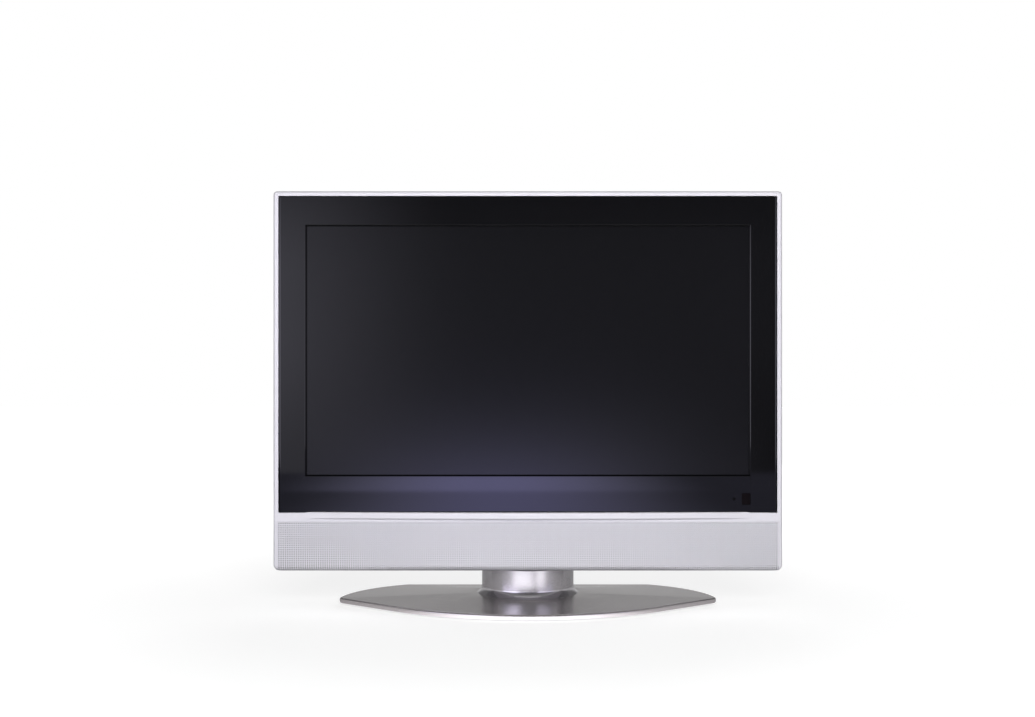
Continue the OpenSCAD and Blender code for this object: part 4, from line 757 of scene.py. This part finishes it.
# Acoustic cloth is a dull dark grey weave. The holes' walls take the same dark colour, as painted shade in
# the holes.
acoustic_cloth_and_painted_hole_shade = grained("acoustic_cloth_and_painted_hole_shade", "#262628", "#1a1a1c", 0.4, (0.85, 0.95), 0.05)
grille.data.materials.append(acoustic_cloth_and_painted_hole_shade)
grille.data.polygons.foreach_set(
    "material_index", (np.arange(len(grille.data.polygons)) >= lacquered).astype(np.int32))
# The cones' pressed paper is a dull, fibrous black.
cone_paper = grained("black_cone_paper", "#2a2a2b", "#1d1d1e", 1.2, (0.7, 0.85), 0.05)
# Ferrite is a fired ceramic, dark grey and slightly chalky.
ferrite = grained("ferrite", "#3a3a3c", "#2c2c2e", 1.5, (0.5, 0.65), 0.03)
wear(stoved_steel, "speaker_baskets")
wear(cone_paper, "speaker_cones")
wear(ferrite, "speaker_magnets")

# Keys
# Seven small keys moulded in ABS, in slots in the top wall. Each has a flange that stops it under the wall,
# softly rounded edges and a shallow dished top.
KEY_TOP = 543.8
KEY_FOOT = 537.1
KEY_ROUND = 0.9
KEY_CORNER = 1.4
KEY_LEAST = 0.1
FLANGE_LOW = 539.1
FLANGE_HIGH = 540.3
FLANGE_OUT = 1.8
DISH_STEPS = np.array([(1.1, 0.12), (1.9, 0.16)])   # way in from the rounded edge, and depth
# The keys' lacquer is a shade darker than the frame's, with more flake in it.
key_lacquer = grained("silver_key_lacquer", "#cfccd3", "#c5c2ca", 0.6, (0.36, 0.44), 0.004, Metallic=0.3)
key_profile = np.concatenate([
    [(0, KEY_FOOT), (0, FLANGE_LOW), (-FLANGE_OUT, FLANGE_LOW), (-FLANGE_OUT, FLANGE_HIGH), (0, FLANGE_HIGH)],
    np.column_stack([KEY_ROUND * climb, KEY_TOP - KEY_ROUND * fall]),
    [KEY_ROUND, KEY_TOP] + DISH_STEPS * [1, -1],
])


def key_outline(middle, inset):
    """A key's outline from above, drawn in by inset."""
    half_w = KEY_W / 2 - inset
    half_d = KEY_D / 2 - inset
    return round_rect(middle - half_w, middle + half_w, KEY_Y - half_d, KEY_Y + half_d,
                      max(KEY_CORNER - inset, KEY_LEAST))


for key_name, middle in zip(KEY_NAMES, key_x):
    key_rows = [at_height(key_outline(middle, inset), z) for inset, z in key_profile]
    piece(key_name + "_key_cap", skin(key_rows), key_lacquer, "key_plastic", key_name + "_key_body",
          key_name + "_key")

# Rear cover
# A textured moulding in grey ABS over the whole back, with rows of air slots, a terminal bay, a mains bay and
# a round housing over the neck. Eight black screws in deep pockets hold it to the frame.

# A spark eroded texture breaks the light on the back into a matt grey.
textured_grey = grained("spark_textured_abs", "#7d7c81", "#6f6e73", 0.9, (0.55, 0.68), 0.05)
# Blackened steel is a dark, oily metal.
black_screw = grained("blackened_steel", "#2a2a2c", "#1c1c1e", 1.0, (0.35, 0.5), 0.01, Metallic=0.8)
dressed("rear_cover", textured_grey, 0.6)
dressed("cover_screws", black_screw, 0.3)
dressed("wall_mount_posts", zinc_steel, 0.3)

# Studio
# A white table that runs out of view, soft lamps in front, behind and above, and a pale room.
# A graded drape behind the camera and glowing cloths on the table are there for the gloss to mirror.
FLOOR_HALF = 8000.0
DRAPE_Y = -2300.0
DRAPE_HALF = 5000.0
DRAPE_H = 2600.0
WIDE_HALF = 2500.0      # the two cloths near the camera
FAR_END = -1720.0
MID_END = -1000.0
WIDE_Z = 1.0
SMALL_HALF = 700.0      # the two cloths at the foot of the set
NEAR_START = -400.0
NEAR_END = -190.0
EDGE_END = 60.0
SMALL_Z = 0.5
CAMERA_Y = -1951.0
CAMERA_Z = 325.3
LENS = 51.52
FRAME_SHIFT = -0.00995


def card(name, corners, finish):
    """A flat stage card from four corners in mm."""
    mesh = bpy.data.meshes.new(name)
    mesh.from_pydata((np.array(corners, float) * MM).tolist(), [], [[0, 1, 2, 3]])
    mesh.materials.append(finish)
    made = bpy.data.objects.new(name, mesh)
    bpy.context.scene.collection.objects.link(made)
    return made


def level_card(name, half, first, last, z, finish):
    """A stage card that lies level at z, half to each side and from first to last along Y."""
    return card(name, [(-half, first, z), (half, first, z), (half, last, z), (-half, last, z)], finish)


def hang(made):
    """Leaves a stage card to the gloss alone: it isn't seen, lights nothing and casts no shadow."""
    made.visible_camera = False
    made.visible_diffuse = False
    made.visible_shadow = False


def bare(name):
    """A material with no node in it yet, and its tree."""
    made = bpy.data.materials.new(name)
    made.use_nodes = True
    made.node_tree.nodes.clear()
    return made, made.node_tree


def seen(tree, gloss):
    """1 for rays from the camera or through clear matter, gloss for rays off a glossy face, else 0."""
    ray = add(tree, "LightPath").outputs
    clear = add(tree, "Math", {"operation": "MAXIMUM"},
                {0: ray["Is Camera Ray"], 1: ray["Is Transmission Ray"]}).outputs[0]
    shiny = add(tree, "Math", {"operation": "MULTIPLY", 1: gloss}, {0: ray["Is Glossy Ray"]}).outputs[0]
    return add(tree, "Math", {"operation": "MAXIMUM"}, {0: clear, 1: shiny}).outputs[0]


# The table is matt white and brightens to plain white away from the set. Well behind it the matt white
# darkens, so that the rear lamp on it doesn't shine in the cabinet's sides.
table, tree = bare("white_table")
spot = add(tree, "TexCoord").outputs["Object"]
behind = add(tree, "MapRange", {"From Min": 1.0, "From Max": 1.8, "To Min": 0.456, "To Max": 0.06},
             {"Value": add(tree, "SeparateXYZ", {}, {0: spot}).outputs["Y"]})
matt = add(tree, "BsdfDiffuse", {}, {"Color": behind.outputs["Result"]})
reach = add(tree, "VectorMath", {"operation": "LENGTH"}, {0: spot})
whiter = add(tree, "MapRange", {"From Min": 0.4, "From Max": 1.6, "To Min": 0.68, "To Max": 1.0},
             {"Value": reach.outputs["Value"]})
lift = add(tree, "Math", {"operation": "MULTIPLY"}, {0: seen(tree, 0.25), 1: whiter.outputs["Result"]})
glow = add(tree, "Emission", {"Color": colour("#ffffff")}, {"Strength": lift.outputs[0]})
both = add(tree, "AddShader", {}, {0: matt.outputs[0], 1: glow.outputs[0]})
add(tree, "OutputMaterial", {}, {"Surface": both.outputs[0]})
level_card("table", FLOOR_HALF, -FLOOR_HALF, FLOOR_HALF, 0, table)


def stripe(tree, along, first, last, blur, share):
    """Share between first and last mm along one direction, and 0 beyond: each end fades over blur mm to
    both sides."""
    ramps = [add(tree, "MapRange", {"interpolation_type": "SMOOTHSTEP", "From Min": (end - side * blur) * MM,
                                    "From Max": (end + side * blur) * MM, "To Max": np.sqrt(share)},
                 {"Value": along}).outputs["Result"] for end, side in ((first, 1), (last, -1))]
    return add(tree, "Math", {"operation": "MULTIPLY"}, {0: ramps[0], 1: ramps[1]}).outputs[0]


# The drape is brighter to the left than to the right, brightest in a wing at each side, dimmer at its hem
# apart from a glow along its middle, and dark well above the height of the set.
drape_cloth, tree = bare("graded_drape")
spot = add(tree, "SeparateXYZ", {}, {0: add(tree, "TexCoord").outputs["Object"]}).outputs
sweep = add(tree, "MapRange", {"interpolation_type": "SMOOTHSTEP", "From Min": -0.8, "From Max": -0.2,
                               "To Min": 1.2, "To Max": 0.15}, {"Value": spot["X"]})
height = add(tree, "MapRange", {"interpolation_type": "SMOOTHSTEP", "From Min": 0.55, "From Max": 1.1,
                                "To Min": 1.0, "To Max": 0.05}, {"Value": spot["Z"]})
hem = add(tree, "MapRange", {"interpolation_type": "SMOOTHSTEP", "From Min": 0.0, "From Max": 0.4,
                             "To Min": 0.6, "To Max": 1.0}, {"Value": spot["Z"]})
grade = add(tree, "Math", {"operation": "MULTIPLY"}, {0: sweep.outputs["Result"], 1: hem.outputs["Result"]})
for wing_from, wing_to, power in ((-0.85, -1.3, 2.2), (0.85, 1.3, 1.6)):
    wing = add(tree, "MapRange", {"interpolation_type": "SMOOTHSTEP", "From Min": wing_from,
                                  "From Max": wing_to, "To Max": power}, {"Value": spot["X"]})
    grade = add(tree, "Math", {"operation": "ADD"}, {0: grade.outputs[0], 1: wing.outputs["Result"]})
low_glow = add(tree, "MapRange", {"interpolation_type": "SMOOTHSTEP", "From Max": 0.25, "To Min": 0.55,
                                  "To Max": 0.0}, {"Value": spot["Z"]})
mid_glow = add(tree, "Math", {"operation": "MULTIPLY"},
               {0: low_glow.outputs["Result"], 1: stripe(tree, spot["X"], -450, 450, 300, 1.0)})
grade = add(tree, "Math", {"operation": "ADD"}, {0: grade.outputs[0], 1: mid_glow.outputs[0]})
grade = add(tree, "Math", {"operation": "MULTIPLY"}, {0: grade.outputs[0], 1: height.outputs["Result"]})
glow = add(tree, "Emission", {"Color": colour("#eeecff")}, {"Strength": grade.outputs[0]})
add(tree, "OutputMaterial", {}, {"Surface": glow.outputs[0]})
hang(card("drape", [(-DRAPE_HALF, DRAPE_Y, 0), (DRAPE_HALF, DRAPE_Y, 0), (DRAPE_HALF, DRAPE_Y, DRAPE_H),
                    (-DRAPE_HALF, DRAPE_Y, DRAPE_H)], drape_cloth))


def lit_cloth(name, depth, bands, dim, bright, dim_tint, tint):
    """A cloth that glows bright where its depth along Y and one of its bands along X meet, and dim
    elsewhere: the largest band times the depth leads from dim to bright, and from one tint to the other."""
    made, tree = bare(name)
    spot = add(tree, "SeparateXYZ", {}, {0: add(tree, "TexCoord").outputs["Object"]}).outputs
    most = stripe(tree, spot["X"], *bands[0])
    for band in bands[1:]:
        other = stripe(tree, spot["X"], *band)
        most = add(tree, "Math", {"operation": "MAXIMUM"}, {0: most, 1: other}).outputs[0]
    level = add(tree, "Math", {"operation": "MULTIPLY"},
                {0: most, 1: stripe(tree, spot["Y"], *depth, 1.0)}).outputs[0]
    power = add(tree, "MapRange", {"To Min": dim, "To Max": bright}, {"Value": level})
    hue = add(tree, "Mix", {"data_type": "RGBA", 6: colour(dim_tint), 7: colour(tint)}, {0: level})
    glow = add(tree, "Emission", {}, {"Color": hue.outputs[2], "Strength": power.outputs["Result"]})
    add(tree, "OutputMaterial", {}, {"Surface": glow.outputs[0]})
    return made


# The bezel below the picture mirrors the far and mid cloths, which glow a pale violet.
far_cloth = lit_cloth("far_table_cloth", (-2400, -1600, 50), [(-400, 210, 280, 1.0)],
                      0.36, 3.8, "#dcdaff", "#c4c1ff")
mid_cloth = lit_cloth("mid_table_cloth", (-1850, -1115, 100), [(-320, 210, 260, 1.0)],
                      0.34, 2.6, "#dcdaff", "#c4c1ff")
# The neck and the base's rim mirror the near and edge cloths, which are brightest in front of the neck.
near_cloth = lit_cloth("near_table_cloth", (-370, -100, 30),
                       [(-200, 75, 90, 1.0), (97, 245, 75, 1.0), (-230, 260, 130, 0.3)],
                       0.3, 2.7, "#f4f2f4", "#fbfaff")
edge_cloth = lit_cloth("edge_table_cloth", (-300, 30, 30),
                       [(-130, 130, 110, 1.0), (-270, 270, 140, 0.22)],
                       0.25, 3.4, "#f4f2f4", "#fbfaff")
hang(level_card("far_cloth", WIDE_HALF, DRAPE_Y, FAR_END, WIDE_Z, far_cloth))
hang(level_card("mid_cloth", WIDE_HALF, FAR_END, MID_END, WIDE_Z, mid_cloth))
hang(level_card("near_cloth", SMALL_HALF, NEAR_START, NEAR_END, SMALL_Z, near_cloth))
hang(level_card("edge_cloth", SMALL_HALF, NEAR_END, EDGE_END, SMALL_Z, edge_cloth))

# The room is white to the camera. In the gloss it darkens upwards and is lighter on the camera's side.
world = bpy.data.worlds.new("studio")
world.use_nodes = True
bpy.context.scene.world = world
tree = world.node_tree
backdrop = tree.nodes["Background"]
backdrop.inputs["Color"].default_value = colour("#ffffff")
toward = add(tree, "SeparateXYZ", {}, {0: add(tree, "TexCoord").outputs["Generated"]}).outputs
dusk = add(tree, "MapRange", {"From Min": 0.13, "From Max": 0.28, "To Min": 0.6, "To Max": 0.15},
           {"Value": toward["Z"]})
rear = add(tree, "MapRange", {"From Min": -0.2, "From Max": 0.5, "To Min": 1.5}, {"Value": toward["Y"]})
wall = add(tree, "Math", {"operation": "MULTIPLY"}, {0: dusk.outputs["Result"], 1: rear.outputs["Result"]})
ray = add(tree, "LightPath").outputs
mirrored = add(tree, "Mix", {2: 0.18}, {0: ray["Is Glossy Ray"], 3: wall.outputs[0]})
room = add(tree, "Mix", {3: 1.0}, {0: seen(tree, 0.0), 2: mirrored.outputs[0]})
tree.links.new(room.outputs[0], backdrop.inputs["Strength"])


def lamp(name, place, aim, size, watts):
    """A soft box of size (wide, high) in mm at place, turned to aim."""
    data = bpy.data.lights.new(name, "AREA")
    data.shape = "RECTANGLE"
    data.size = size[0] * MM
    data.size_y = size[1] * MM
    data.energy = watts
    made = bpy.data.objects.new(name, data)
    made.location = Vector(place) * MM
    made.rotation_euler = (Vector(aim) - Vector(place)).to_track_quat("-Z", "Y").to_euler()
    made.visible_camera = False
    bpy.context.scene.collection.objects.link(made)
    return made


lamp("front_box", (100, -2600, 900), (0, 0, 250), (1600, 1200), 66).visible_glossy = False
lamp("rear_box", (500, 2600, 700), (0, 0, 300), (2000, 1000), 55).visible_glossy = False
lamp("top_box", (0, -200, 2600), (0, -100, 0), (2000, 1400), 3)

camera = bpy.data.cameras.new("camera")
camera.lens = LENS
camera.shift_x = FRAME_SHIFT
view = bpy.data.objects.new("camera", camera)
view.location = Vector((0, CAMERA_Y, CAMERA_Z)) * MM
view.rotation_euler = (np.pi / 2, 0, 0)
bpy.context.scene.collection.objects.link(view)
bpy.context.scene.camera = view
bpy.context.scene.view_settings.view_transform = "Standard"
